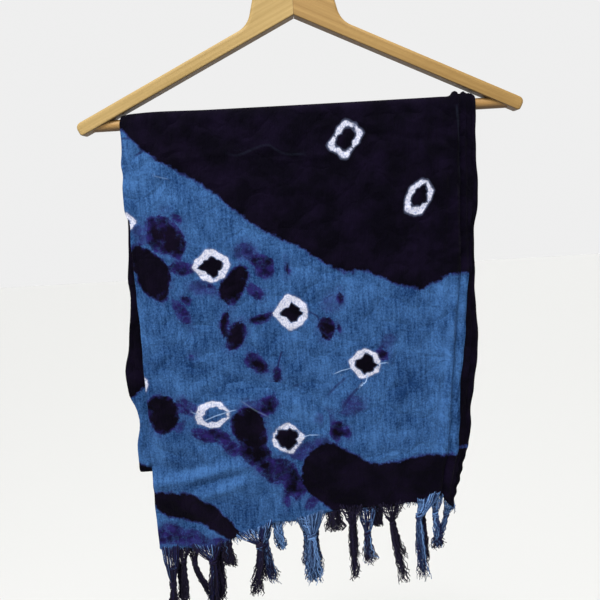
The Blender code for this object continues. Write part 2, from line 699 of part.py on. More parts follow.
def grow_tassel(mesh, ply, row, roots):
    """Gathered yarns from the strip's roots to the knot, and the loose skirt under it."""
    tassel = dict(zip(TASSEL_COLUMNS, row))
    hem = hem_place(ply, tassel["x"])
    strip_foot = hem[2] - GAP - STRIP_HEIGHT
    knot_height = hem[2] - tassel["gather"]
    relief = -hem[1] - STACK_MIDDLE - PLY_LEVEL[ply] * HEM_PITCH
    layer = LAYER_MIDDLE - relief - PLY_LEVEL[ply] * LAYER_PITCH
    levels = []
    for height, share in ((1.0, KNOT_NECK), (0.0, 1.0), (-1.0, KNOT_NECK)):
        z = knot_height + height * KNOT_HALF_HEIGHT
        levels.append(
            knot_ring(mesh, tassel["x"], layer, z, tassel["knot"] * share, KNOT_HALF_DEPTH * share)
        )
    for upper, lower in zip(levels, levels[1:]):
        mesh.tube(upper[0] + upper[1][::-1], lower[0] + lower[1][::-1])
    gather_length = strip_foot - (knot_height + KNOT_HALF_HEIGHT)
    reached = min(LAYER_DROP / gather_length, LOCK_REACH_LIMIT)
    for i, root in enumerate(roots):
        root_x = np.mean([mesh.points[n][0] for n in root])
        side = (2 * i - LOCKS + 1) / LOCKS
        goal = tassel["x"] + side * tassel["knot"] * KNOT_NECK
        x = root_x + (goal - root_x) * reached
        z = strip_foot - gather_length * reached
        half_width = LOCK_SLIMNESS * ROOT_WIDTH / 2 * (1 - LOCK_NARROWING * reached)
        middle = mesh.add(cell_ring(x, layer, z, half_width, LOCK_HALF_DEPTH))
        mesh.tube(root, middle)
        mesh.tube(middle, column(levels[0], i))
    grow_skirt(mesh, tassel, layer, knot_height - KNOT_HALF_HEIGHT, levels[-1])


def grow_skirt(mesh, tassel, layer, top, level):
    """Loose locks below a knot, spreading and leaning to their tips."""
    for i in range(LOCKS):
        side = (2 * i - LOCKS + 1) / (LOCKS - 1)
        length = tassel["skirt"] * SKIRT_LENGTHS[i]
        ring = column(level, i)
        for share in SKIRT_SHARES:
            neck = tassel["knot"] * KNOT_NECK * (LOCKS - 1) / LOCKS
            reach = neck + (tassel["spread"] - neck) * share
            x = tassel["x"] + side * reach + tassel["lean"] * share**1.5
            width = reach / (LOCKS - 1) * LOCK_SLIMNESS
            taper = TIP_SHARE if share == 1.0 else 1.0
            width *= taper
            depth = LOCK_HALF_DEPTH * taper
            y = layer + SKIRT_DEPTHS[i] * share**0.5
            lower = mesh.add(cell_ring(x, y, top - length * share, width, depth))
            mesh.tube(ring, lower)
            ring = lower
        mesh.faces.append(tuple(ring))


def strip_stops(ply):
    """Places along a fringe strip, in order, each with the lock whose root starts there if any.

    Between the roots the strip also bends where the wall above it does.
    """
    roots = []
    for number, row in enumerate(TASSELS[ply]):
        tassel = dict(zip(TASSEL_COLUMNS, row))
        for i in range(LOCKS):
            middle = tassel["x"] + tassel["fan"] * (2 * i - LOCKS + 1) / (LOCKS - 1)
            roots.append((middle - ROOT_WIDTH / 2, (number, i)))
            roots.append((middle + ROOT_WIDTH / 2, None))
    pairs = list(zip(roots[::2], roots[1::2]))
    columns = ply_columns("front", 0.0, ply)
    bends = [columns[0], *columns[1:-1], columns[-1] - STRIP_END_INSET]
    ends = [(low[0] - STOP_CLEARANCE, high[0] + STOP_CLEARANCE) for low, high in pairs]
    clear = [x for x in bends if all(x < low or x > high for low, high in ends)]
    return sorted(roots + [(float(x), None) for x in clear], key=lambda stop: stop[0])


def build_fringe(ply, material):
    """One hem's fringe: a narrow strip just below the hem, and the tassels hanging from it."""
    mesh = Mesh()
    rows = TASSELS[ply]
    stops = strip_stops(ply)
    rings = []
    for x, _ in stops:
        _, y, z = hem_place(ply, x)
        top, foot = z - GAP, z - GAP - STRIP_HEIGHT
        near, far = y - WALL / 2, y + WALL / 2
        rings.append(mesh.add([(x, near, foot), (x, far, foot), (x, far, top), (x, near, top)]))
    roots = {number: [] for number in range(len(rows))}
    for (_, root), left, right in zip(stops, rings, rings[1:]):
        for i in range(1, 4):
            j = (i + 1) % 4
            mesh.faces.append((left[i], left[j], right[j], right[i]))
        foot = [left[0], right[0], right[1], left[1]]
        if root is None:
            mesh.faces.append(tuple(foot))
        else:
            roots[root[0]].append(foot)
    mesh.faces.append(tuple(rings[0]))
    mesh.faces.append(tuple(rings[-1]))
    for number, row in enumerate(rows):
        grow_tassel(mesh, ply, row, roots[number])
    write_solid("fringe_" + ply, mesh.points, mesh.faces, material, 50.0)


clear_scene()
build_hanger()
build_cloth()
build_fringe("a1", "indigo_yarn")
build_fringe("b1", "dark_indigo_yarn")
build_fringe("b2", "indigo_yarn")
build_fringe("a2", "dark_indigo_yarn")
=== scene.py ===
# %% [markdown]
# # A tie-dyed dupatta stole on a wooden trouser hanger
#
# A dupatta stole is one long width of thin crinkled cotton with a knotted fringe at both ends.
# This one is folded lengthwise, so that the fold is at the left and the selvedges at the right,
# folded once more crosswise, and hung over the bar of a hanger with both ends at the front. From
# the front inwards the four plies are A1, B1, B2 and A2. A1 and B1 are the outer run of the
# cloth, joined at the left fold, and B2 and A2 are the inner run.
#
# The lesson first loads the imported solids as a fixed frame. Each piece of cloth and fringe made
# below takes the place of one plain solid, in the same spot, and the wood and the steel keep
# their solids and get a finish.

# %% Load the frame
import math
from functools import partialmethod

import bpy
import numpy as np
from mathutils import Matrix


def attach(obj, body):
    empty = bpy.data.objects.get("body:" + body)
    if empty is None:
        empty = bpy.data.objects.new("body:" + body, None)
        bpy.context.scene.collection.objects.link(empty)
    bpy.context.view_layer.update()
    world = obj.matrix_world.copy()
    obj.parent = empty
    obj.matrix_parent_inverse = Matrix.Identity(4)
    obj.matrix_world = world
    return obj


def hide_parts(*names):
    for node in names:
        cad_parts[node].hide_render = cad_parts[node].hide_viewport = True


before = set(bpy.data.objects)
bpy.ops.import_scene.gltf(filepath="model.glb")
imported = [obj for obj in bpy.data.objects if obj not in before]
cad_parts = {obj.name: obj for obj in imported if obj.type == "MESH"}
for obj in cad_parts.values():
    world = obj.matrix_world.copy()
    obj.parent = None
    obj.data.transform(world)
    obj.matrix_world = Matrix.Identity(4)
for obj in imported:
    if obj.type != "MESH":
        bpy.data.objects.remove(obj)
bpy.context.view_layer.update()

print("solids:", ", ".join(sorted(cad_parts)))

# %% [markdown]
# ## Units, meshes and painted values
#
# All sizes are in millimetres measured from the axis of the bar, because that is what the cloth
# hangs on. One helper moves finished points into the frame, whose origin is the hook's inner top.
# A mesh could be made face by face, but whole arrays are quicker and keep each shape a formula:
# the next helpers put arrays of points, faces and painted values into Blender in one go.

# %% Helpers for arrays
MM = 0.001
BAR_BELOW_HOOK = 210.0


def in_frame(points):
    """Millimetres about the bar as metres about the hook: take off the drop, then scale."""
    return (points - np.array((0.0, 0.0, BAR_BELOW_HOOK))) * MM


def new_piece(name, points, *face_sets):
    """A smooth mesh object at the origin. Each set of faces is an array with a row per face.

    The sum of the faces' signed cones gives the volume, and if it is negative every face turns
    round, so that all point outwards.
    """
    fans = [
        np.stack([faces[:, 0], faces[:, k], faces[:, k + 1]], 1)
        for faces in face_sets
        for k in range(1, faces.shape[1] - 1)
    ]
    a, b, c = points[np.concatenate(fans)].transpose(1, 0, 2)
    if np.einsum("ij,ij->", a, np.cross(b, c)) < 0:
        face_sets = [faces[:, ::-1] for faces in face_sets]
    corners = np.concatenate([faces.ravel() for faces in face_sets])
    sizes = np.concatenate([np.full(len(faces), faces.shape[1]) for faces in face_sets])
    mesh = bpy.data.meshes.new(name)
    mesh.vertices.add(len(points))
    mesh.vertices.foreach_set("co", in_frame(points).ravel())
    mesh.loops.add(len(corners))
    mesh.loops.foreach_set("vertex_index", corners)
    mesh.polygons.add(len(sizes))
    mesh.polygons.foreach_set("loop_start", np.cumsum(sizes) - sizes)
    mesh.update(calc_edges=True)
    mesh.validate()
    mesh.shade_smooth()
    piece = bpy.data.objects.new(name, mesh)
    bpy.context.scene.collection.objects.link(piece)
    print(f"{name}: {len(points)} points, {int((sizes - 2).sum())} triangles")
    return piece


def paint(piece, name, values):
    """Stores one number, or one vector, at each point of the piece."""
    kind, key = ("FLOAT", "value") if values.ndim == 1 else ("FLOAT_VECTOR", "vector")
    layer = piece.data.attributes.new(name, kind, "POINT")
    layer.data.foreach_set(key, np.ascontiguousarray(values, dtype=np.float32).ravel())


print("the bar lies", BAR_BELOW_HOOK, "mm below the hook's inner top")

# %% [markdown]
# ## The edges of the folded cloth
#
# The cloth isn't a rectangle when it hangs: the left fold leans out, the selvedges at the right
# step back one behind the other, and the hem sags to the left. A few rows of places describe each
# edge, and a smooth curve runs through them. A spline could do it too, but this keeps the numbers
# readable.

# %% Tables of the edges
SELVEDGE_COLUMNS = ("depth", "a1", "b1", "b2", "a2")
FRONT_SELVEDGES = np.array((
    (0, 156.5, 163.5, 168.5, 173.6), (60, 156.6, 163.8, 169.5, 174.8),
    (105, 156.8, 164.2, 170, 175.4), (120, 156.9, 164.6, 168.6, 173),
    (170, 156.4, 165, 168.6, 172.2), (228, 150.6, 161, 168, 175), (270, 147.6, 157.6, 166, 174),
    (296, 145.4, 155, 163, 170.6), (322, 143.8, 154, 160.5, 166.4),
    (338, 143, 153.6, 161, 167.4), (361, 142, 152.7, 158.5, 164),
    (387, 135.5, 146.5, 151.5, 156.5), (425, 132.5, 140, 144, 147), (470, 132, 139, 143, 146),
))
BACK_SELVEDGES = np.array((
    (0, 156.5, 163.5, 168.5, 173.6), (124, 154, 161, 165, 169), (176, 150, 157, 161, 165),
    (240, 141, 148, 152, 156), (290, 139, 146, 150, 154), (355, 137, 144, 148, 152),
    (400, 136, 143, 147, 151),
))
LEFT_COLUMNS = ("depth", "left")
FRONT_LEFT = np.array((
    (0, -178.2), (27, -178.5), (40, -181), (50, -180), (62, -181.6), (76, -181.8),
    (88, -180.8), (98, -177.6), (110, -178.6), (170, -178.6), (228, -179.2),
    (304, -180.6), (360, -182.4), (396, -182.8), (425, -182.8), (470, -184),
))
BACK_LEFT = np.array((
    (0, -178.2), (60, -181), (124, -187), (148, -190), (160, -191), (173, -190),
    (210, -195.5), (235, -199), (261, -204.8), (274, -204.3), (287, -203),
    (300, -197.8), (314, -195), (341, -199.5), (366, -201), (400, -200),
))
LOWER_COLUMNS = ("x", "hem", "crosswise_fold")
LOWER_EDGES = np.array((
    (-205, 454, 371), (-165, 461, 371), (-120, 460, 371), (-67, 440, 374), (-24, 434, 379),
    (20, 423, 384), (87, 422, 389), (112, 418, 390), (128, 412, 391), (134, 415, 391.5),
    (140, 424, 392), (175, 428, 394),
))
print("selvedges: front", len(FRONT_SELVEDGES), "rows, back", len(BACK_SELVEDGES), "rows")


# %% Curves through a table
def curve(columns, table, value, at):
    """Value against the table's first column: cubic pieces with slopes from the rows beside."""
    knots, heights = table[:, 0], table[:, columns.index(value)]
    slopes = np.gradient(heights, knots)
    at = np.clip(at, knots[0], knots[-1])
    i = np.clip(np.searchsorted(knots, at) - 1, 0, len(knots) - 2)
    width = knots[i + 1] - knots[i]
    t = (at - knots[i]) / width
    start = (1 + 2 * t) * (1 - t) ** 2 * heights[i] + t * (1 - t) ** 2 * width * slopes[i]
    end = t * t * (3 - 2 * t) * heights[i + 1] + t * t * (t - 1) * width * slopes[i + 1]
    return start + end


def ease(low, high, at):
    """0 below low, 1 above high, and t * t * (3 - 2t) between them."""
    t = np.clip((at - low) / (high - low), 0.0, 1.0)
    return t * t * (3 - 2 * t)


def hem_depth(x):
    """Depth of the fringed hems, with a shallow scallop of uneven length."""
    scallop = 1.2 * np.sin(x / 7.6 + 0.8 * np.sin(x / 31.0))
    return curve(LOWER_COLUMNS, LOWER_EDGES, "hem", x) + scallop


def fold_depth(x):
    """Depth of the crosswise fold."""
    return curve(LOWER_COLUMNS, LOWER_EDGES, "crosswise_fold", x)


DRAWN_PLACES = (-171.0, -124.0, -70.0, -12.0, 33.0, 78.0, 119.0)
DRAWN_DEPTH = 4.5
DRAWN_HALF_WIDTH = 12.0
DRAWN_LIFT = 1.5


def drawn_down(x):
    """How far the hem is drawn down into its tassels: a bell at each, less an even lift."""
    bells = sum(np.exp(-(((x - place) / DRAWN_HALF_WIDTH) ** 2)) for place in DRAWN_PLACES)
    return DRAWN_DEPTH * bells - DRAWN_LIFT


print("the hem hangs", *(round(float(hem_depth(x))) for x in (-165.0, 130.0)), "mm at its ends")

# %% [markdown]
# ## Folds, creases and crinkle
#
# Cloth that was packed flat keeps its creases, and thin cotton that is wrung out as it dries
# keeps fine upright crinkles. A simulation would drape it, but it wouldn't put each crease where
# it belongs. So the relief is a sum of three layers: broad soft folds, which the solid has too,
# narrow creases along short lines, and a fine crinkle of uneven waves.

# %% Broad folds
FOLD_COLUMNS = ("x", "y", "angle_deg", "half_long", "half_short", "height")
FRONT_FOLDS = (
    (-25, 305, -4, 70, 26, 2.2), (-112, 385, 22, 60, 24, 2.4), (40, 345, -58, 55, 22, 1.6),
    (146, 230, 90, 190, 9, 2.2), (126, 300, 90, 110, 9, -1.4), (-60, 50, 3, 110, 18, -1.2),
    (75, 120, 78, 90, 26, 1.2),
)
BACK_FOLDS = (
    (-150, 250, 84, 120, 26, 3), (-40, 220, 95, 130, 30, -1.2), (60, 200, 88, 130, 26, 2.4),
    (130, 260, 92, 110, 20, -1.2),
)


def tilted(x, y, angle_deg, half_long, half_short):
    """Coordinates along and across a spot that lies at an angle, in its own half lengths."""
    turn = math.radians(angle_deg)
    along = x * math.cos(turn) - y * math.sin(turn)
    across = x * math.sin(turn) + y * math.cos(turn)
    return along / half_long, across / half_short


def spots(columns, rows, x, y):
    """Each spot of a table, with the places along and across it in its half lengths."""
    for values in rows:
        spot = dict(zip(columns, values))
        size = (spot["half_long"], spot["half_short"])
        yield spot, *tilted(x - spot["x"], y - spot["y"], spot["angle_deg"], *size)


def bells(columns, rows, x, y):
    """The sum of soft spots, each one height * exp(-along^2 - across^2)."""
    total = np.zeros_like(x)
    for spot, along, across in spots(columns, rows, x, y):
        total += spot["height"] * np.exp(-(along**2) - across**2)
    return total


print(len(FRONT_FOLDS), "broad folds in front and", len(BACK_FOLDS), "behind")

# %% Narrow creases
# Each crease: half width, rise, and the places (x, depth) that its line passes.
FRONT_CREASES = (
    (9, -2.4, ((-120, 288), (-92, 276), (-66, 273), (-30, 280), (-8, 290), (10, 311), (10, 330))),
    (6, -1.8, ((-176, 362), (-150, 369), (-124, 364))),
    (5.5, 2.6, ((-182, 384), (-140, 378), (-118, 371), (-92, 366), (-76, 364))),
    (4.5, -2.2, ((-136, 388), (-113, 381), (-88, 376))),
    (5, 2.4, ((-130, 400), (-112, 394), (-84, 386))),
    (2, 1.4, (
        (-130, 36), (-112, 38), (-67, 31), (-56, 38), (-46, 34), (-35, 28), (-1, 40), (28, 44),
    )),
    (2.2, -1.5, ((71, 25), (86, 24), (113, 31), (141, 31))),
    (2.8, 1.2, ((141, 3), (100, 13))),
    (2.2, 1.1, ((-171, 22), (-152, 18))),
    (2.2, -1.2, ((-166, 32), (-152, 24))),
    (2.2, 1, ((-148, 52), (-133, 56))),
    (2, 0.7, ((23, 265), (43, 259))),
    (2, 0.7, ((45, 283), (56, 268))),
    (1.8, 0.6, ((64, 256), (84, 257))),
    (2, 0.6, ((-17, 338), (6, 333))),
    (5, -0.8, ((92, 251), (133, 286), (90, 334))),
    (4, 0.7, ((133, 286), (112, 302), (133, 331))),
    (3, 1.7, ((153, 5), (153, 150), (147, 228), (141, 320), (131, 400), (129, 440))),
    (2, -1.9, ((158, 8), (158, 160), (153, 228), (147, 304), (144, 360), (136, 396), (134, 440))),
    (2.2, 1.8, ((161, 8), (162, 160), (158, 228), (151, 304), (150, 360), (142, 396), (137, 440))),
    (2.6, -1.3, ((147, 20), (146, 170), (140, 240), (133, 330), (127, 395))),
    (3, 0.9, ((139, 60), (138, 180), (133, 260), (125, 350))),
    (2.6, -0.7, ((128, 120), (126, 220), (119, 330))),
    (2.8, 0.6, ((112, 180), (110, 260), (106, 350))),
    (3, 0.6, ((84, 190), (82, 250), (86, 340))),
    (3, -0.5, ((62, 280), (60, 350))),
    (6, -0.7, ((-150, 200), (-100, 232), (-60, 236))),
    (5, 0.7, ((-60, 60), (10, 76), (70, 70))),
    (4, -0.5, ((-20, 92), (40, 104), (96, 140))),
    (3, 0.6, ((-33, 150), (-36, 215))),
    (4, 0.7, ((-40, 400), (10, 392), (60, 398))),
    (3.5, -0.6, ((30, 385), (80, 392), (120, 388))),
    (3, 0.6, ((-170, 330), (-140, 345), (-105, 348))),
)
BACK_CREASES = (
    (10, 1.4, ((-150, 60), (-120, 160), (-128, 300))),
    (5, -1.1, ((-100, 90), (-60, 140), (-52, 240))),
    (4, 0.9, ((10, 40), (20, 180), (8, 330))),
    (6, -0.9, ((60, 300), (110, 270), (145, 200))),
    (4, 1, ((-170, 330), (-90, 345), (-20, 340))),
    (3, 0.8, ((130, 60), (126, 200), (120, 330))),
    (3, -0.7, ((90, 100), (86, 230), (92, 360))),
    (4.5, 0.9, ((-60, 30), (30, 38), (110, 28))),
    (3, -0.7, ((-190, 210), (-160, 260), (-165, 340))),
    (2.6, 0.7, ((40, 200), (70, 214), (96, 206))),
)
print(len(FRONT_CREASES), "narrow creases in front and", len(BACK_CREASES), "behind")


# %% Distance to a line of straight pieces
def straight_pieces(places, x, y):
    """For each straight piece of a line: steps along the line, millimetres across its direction,
    and millimetres away from the piece itself, which stops at its ends."""
    for step, ((x0, y0), (x1, y1)) in enumerate(zip(places, places[1:])):
        run, fall = x1 - x0, y1 - y0
        length = math.hypot(run, fall)
        off_x, off_y = x - x0, y - y0
        t = (off_x * run + off_y * fall) / length**2
        held = np.clip(t, 0, 1)
        away = np.hypot(off_x - held * run, off_y - held * fall)
        yield step + t, (off_x * fall - off_y * run) / length, away


def narrow_creases(rows, x, depth):
    """A bell across the distance to each crease's line: rise * exp(-(distance/half_width)^2)."""
    total = np.zeros_like(x)
    for half_width, rise, places in rows:
        nearest = np.min([away for _, _, away in straight_pieces(places, x, depth)], axis=0)
        total += rise * np.exp(-((nearest / half_width) ** 2))
    return total


# %% Fine crinkle
# Each wave: its length across the cloth, how far down it keeps its bend, and its phase.
CRINKLE_WAVES = (
    (6.9, 61.0, 0.4), (8.7, 83.0, 1.9), (11.3, 107.0, 3.1), (15.1, 71.0, 4.4), (19.7, 139.0, 5.2)
)
CRINKLE_STEEPNESS = 0.018
CRINKLE_BEND = 1.6  # radians of the bend along one reach, and of the small bend on top of it
CRINKLE_SMALL_BEND = 0.9
CRINKLE_SHARES = (0.45, 0.75)  # kept everywhere, and added to it towards the selvedges


def crinkle(x, depth):
    """Upright waves, sin(2 pi x / length + bend), whose bend wanders along the cloth and whose
    height swells and fades; strongest towards the selvedges."""
    total = np.zeros_like(x)
    for length, reach, phase in CRINKLE_WAVES:
        bend = CRINKLE_BEND * np.sin(2 * math.pi * depth / reach + phase)
        bend = bend + CRINKLE_SMALL_BEND * np.sin(depth / 17.0 + x / 40.0 + phase)
        swell = 0.5 + 0.5 * np.sin(x / 23.0 + depth / 61.0 + 2.0 * phase)
        wave = np.sin(2 * math.pi * x / length + bend + phase)
        total += length * CRINKLE_STEEPNESS * swell * wave
    everywhere, at_selvedges = CRINKLE_SHARES
    return total * (everywhere + at_selvedges * ease(0.0, 90.0, x))


probe = np.linspace(-170.0, 150.0, 400)
print("crinkle stands", round(float(np.ptp(crinkle(probe, probe * 0 + 250.0))), 2), "mm")

# %% [markdown]
# ## Where the dye resisted
#
# Before it is dyed, small pinches of the cloth are bound with thread. The binding keeps a white
# ring, and inside it the folded cloth takes the dye in a star. Dark indigo is then laid over the
# blue in large pools and in blots. Every shape lies in the cloth's own coordinates: u runs across
# the opened cloth (the second ply lies at u below the left fold) and v runs along it, down the
# front from the bar, and negative down the back. Half lengths and angles describe each spot.

# %% White rings
# A ring's heart is 1 where its star is dark, and 0 where the middle stayed blue.
RING_COLUMNS = (
    "u", "v", "half_long", "half_short", "angle_deg", "square",
    "star_u", "star_v", "star_long", "star_short", "star_angle_deg", "star_square", "heart",
)
OUTER_RINGS = (
    (44.5, 27, 16.6, 12.3, 53, 7, 0.3, -0.2, 11.6, 7.5, 54, 5, 1),
    (115, 88.5, 18.4, 12.2, 60, 2.3, 1.2, -1.2, 13, 7.8, 58, 1.5, 1),
    (-98.3, 145.4, 19.8, 17.8, 2, 1.5, 0.2, 0.5, 14.6, 12.4, 4, 0.95, 1),
    (-19.5, 198.6, 18.4, 19.6, 2, 1.45, 0.6, 0.6, 13, 11.6, -4, 0.95, 1),
    (55, 258, 17.2, 16.6, -12, 1.6, 0.8, 0.6, 12.6, 11.8, -10, 1.15, 1),
    (-111, 305.4, 19.2, 15.2, 8, 1.8, 2, 0.4, 13.4, 8.4, 12, 1.6, 0),
    (-32, 336.6, 18, 18.4, 4, 1.45, -0.4, 0.2, 12.4, 12.6, 40, 1.7, 1),
    (-181.5, 96, 11, 10, 0, 1.4, -0.5, 0, 6.5, 6.5, 0, 0.95, 1),
    (-184.5, 267, 8.5, 10.5, 0, 1.8, 0, 0, 0.5, 0.5, 0, 1, 0),
    (-120, -125, 19, 16, 30, 1.6, 0.4, 0.8, 11.8, 9.6, 34, 0.95, 1),
    (20, -90, 18, 13, 64, 2, 0, 1, 10.8, 7.8, 60, 1.4, 1),
    (-60, -268, 20, 17, -15, 1.4, 0.8, 0, 12.4, 10.4, -20, 0.95, 1),
    (80, -235, 18, 17, 10, 1.4, 0, -0.8, 11.4, 10.4, 14, 1.1, 1),
    (110, -345, 17, 15, 40, 1.5, 0.6, 0.4, 10.6, 9.2, 44, 0.95, 1),
    (-140, -345, 18, 14, 12, 1.8, 0, 0, 11, 8, 10, 1.6, 0),
    (15, -360, 17.5, 16.5, 0, 1.4, 0.5, 0, 11, 10.4, 5, 1, 1),
)
print(len(OUTER_RINGS), "rings on the outer run")

# %% Inside a ring and inside its star
RIM_WAVES = ((0.04, 5, 1.0), (0.025, 9, -1.0), (0.02, 14, 0.0))
STAR_WAVES = ((0.09, 3, 1.0), (0.08, 7, 1.7), (0.05, 11, 0.0))
STAR_INSET = 1.5
FAR_OUTSIDE = -50.0


def inside_shape(u, v, outline, waves, number):
    """Millimetres inside the shape (|along|^n + |across|^n)^(1/n) = 1, negative outside it.

    It is a square with round corners for a large n, a diamond at n = 1 and a star below it. Slow
    waves, height * cos(count * angle + shift), make its rim uneven.
    """
    half_long, half_short, angle_deg, n = outline
    along, across = tilted(u, v, angle_deg, half_long, half_short)
    angle = np.arctan2(across, along)
    rim = 1.0 + sum(high * np.cos(count * angle + shift * number) for high, count, shift in waves)
    out = (np.abs(along) ** n + np.abs(across) ** n + 1e-9) ** (1 / n)
    return (rim - out) * (half_long + half_short) / 2


def ring_fields(rows, u, v):
    """Millimetres inside the white band and inside the star, negative outside them.

    The star lies a little off the ring's middle, so the band between them varies.
    """
    white, star = np.full_like(u, FAR_OUTSIDE), np.full_like(u, FAR_OUTSIDE)
    for number, values in enumerate(rows):
        row = dict(zip(RING_COLUMNS, values))
        off_u, off_v = u - row["u"], v - row["v"]
        rim = inside_shape(off_u, off_v, values[2:6], RIM_WAVES, number)
        off_u, off_v = off_u - row["star_u"], off_v - row["star_v"]
        middle = inside_shape(off_u, off_v, values[8:12], STAR_WAVES, number)
        white = np.maximum(white, np.minimum(rim, -middle))
        dark = np.minimum(middle, rim - STAR_INSET) + FAR_OUTSIDE * (1.0 - row["heart"])
        star = np.maximum(star, dark)
    return white, star


# %% Blots and soft tints
SPOT_COLUMNS = ("x", "y", "half_long", "half_short", "angle_deg", "height")
# A blot's height is the depth of its dye.
FRONT_BLOTS = (
    (-143, 113, 25, 17, -50, 0.86), (-134, 120, 10.5, 17, 12, 0.95), (-154, 97, 8, 7, -5, 0.85),
    (-128, 95, 5.5, 5, -30, 0.8), (-141, 88, 3, 2.5, 0, 0.7), (-168, 110, 9, 12, 0, 0.42),
    (-161, 149, 31, 17.5, -67, 1), (-130, 146, 14, 7.5, 10, 0.82), (-77, 167, 21, 13.5, 60, 1),
    (-62, 133, 12, 10, 15, 0.55), (-54, 140, 12, 8, -50, 0.6), (-46, 148, 14.5, 11, -50, 0.84),
    (-55, 174, 9.5, 7.5, -55, 0.78), (-107, 168, 17, 8, -20, 0.45), (-100, 166, 2.5, 3, 0, 0.7),
    (-128, 179, 5, 5.5, 0, 0.92), (-134, 193, 14, 7, -60, 0.74), (-89, 205, 17, 4.5, 80, 0.95),
    (-79, 220, 16.5, 10.5, 57, 0.97), (-50, 202, 14, 5.5, 15, 0.88), (-22, 152, 3, 7, 0, 1),
    (16, 217, 13.5, 9, 75, 0.97), (23, 190, 11.5, 9.5, 0, 0.24), (31, 185, 3.5, 6.5, 0, 0.95),
    (29, 217, 3, 5.5, 0, 0.85), (-126, 240, 3.5, 3.5, 0, 0.7), (-59, 251, 13, 10, -45, 0.84),
    (-56, 253, 7.5, 6, -45, 0.97), (-40, 267, 10, 5.5, 85, 0.92), (-50, 296, 13, 9.5, 55, 0.84),
    (-64, 302, 15, 9, -15, 0.5), (74, 250, 7.5, 7.5, 0, 0.88), (78, 236, 9.5, 5.5, 65, 0.34),
    (39, 304, 15, 10, 25, 0.5), (21, 330, 13, 8, 75, 0.9), (11, 316, 9, 8, 0, 0.35),
    (33, 334, 5, 8, 0, 0.8), (-164, 302, 23.5, 17.5, 85, 0.98), (-139, 296, 13, 9.5, -15, 0.7),
    (-146, 318, 8, 5, 40, 0.55), (-112, 329, 24, 8.5, -15, 0.78), (-96, 343, 13, 8, -40, 0.8),
    (-72, 322, 25, 18, -60, 1), (-68, 350, 23, 15, -50, 0.9), (-47, 373, 22, 15, -25, 0.78),
    (-31, 386, 24, 11, -85, 0.84), (-15, 352, 21, 10, 10, 0.55), (1, 349, 13, 9, 25, 0.5),
    (-36, 409, 11, 4.5, 85, 0.8), (-20, 398, 15, 6, 60, 0.8), (-8, 412, 13, 6, 35, 0.7),
    (-172, 443, 19, 13, 15, 0.72), (-150, 449, 24, 11, -10, 0.62),
    (-132, 455, 17, 8, -20, 0.55), (-113, 455, 10, 6, -25, 0.75),
)
BACK_BLOTS = (
    (-70, -204, 24, 16, 60, 0.95), (-130, -264, 20, 17, 20, 0.9),
    (-20, -276, 16, 10, -40, 0.65), (30, -249, 22, 13, 70, 1), (112, -259, 14, 10, 10, 0.7),
    (60, -304, 18, 12, 50, 0.85), (-90, -314, 14, 9, 5, 0.6), (-40, -359, 28, 15, 15, 0.95),
    (130, -299, 12, 8, 80, 0.5),
)
# A spot's height is how much lighter or darker the blue is painted there. The spots are partly
# uneven dye and partly painted light: painted highlights on the ridges of folds and creases and
# towards the top left, and painted shade in their troughs.
TINTS_AND_PAINTED_SHADE = (
    (-158, 60, 50, 26, -60, 0.3), (-128, 127, 50, 14, -20, 0.3), (-126, 225, 55, 34, 20, -0.35),
    (-14, 250, 40, 26, 60, -0.25), (42, 190, 52, 16, 80, 0.4), (93, 213, 60, 14, 85, -0.3),
    (134, 226, 70, 9, 88, 0.4), (143, 240, 40, 5, 83, 0.8), (133, 312, 44, 4.5, 82, 0.85),
    (102, 290, 34, 19, 65, -0.8), (84, 361, 11, 5, 20, 1.1), (-130, 369, 48, 6.5, 9, 0.7),
    (-118, 382, 30, 5.5, 12, -0.75), (-105, 393, 30, 8, 10, 0.6), (-56, 283, 50, 8, 3, -0.4),
    (-14, 292, 30, 22, -40, 0.5), (117, 300, 34, 18, 75, 0.45), (62, 335, 28, 10, 82, 0.7),
    (-60, 412, 60, 20, 8, -0.2), (-150, -120, 60, 30, 70, 0.4), (-40, -180, 50, 24, 85, -0.3),
    (60, -320, 60, 30, 20, 0.3),
)
print(len(FRONT_BLOTS), "blots in front,", len(BACK_BLOTS), "behind, and", len(TINTS_AND_PAINTED_SHADE), "tints")

# %% Inside a blot
BLOT_WAVE = 1.4  # how far the waves that make a blot uneven move each place
BLOT_REACH = 12.0  # a blot is felt no further out than this
DYE_IN = (-4.0, 1.5)  # millimetres inside a blot between which its dye comes in


def blot_fields(rows, u, v):
    """Millimetres inside the nearest blot, negative outside, and the depth of its dye.

    The place is first moved by slow waves, so that the ellipses become uneven.
    """
    u = u + BLOT_WAVE * np.sin(v / 6.3 + 0.3 * np.sin(u / 9.0))
    v = v + BLOT_WAVE * np.sin(u / 5.7 + 1.0)
    inside, dye = np.full_like(u, -BLOT_REACH), np.zeros_like(u)
    for spot, along, across in spots(SPOT_COLUMNS, rows, u, v):
        edge = (1.0 - np.hypot(along, across)) * (spot["half_long"] * spot["half_short"]) ** 0.5
        inside = np.maximum(inside, edge)
        dye = np.maximum(dye, spot["height"] * ease(*DYE_IN, edge))
    return inside, dye
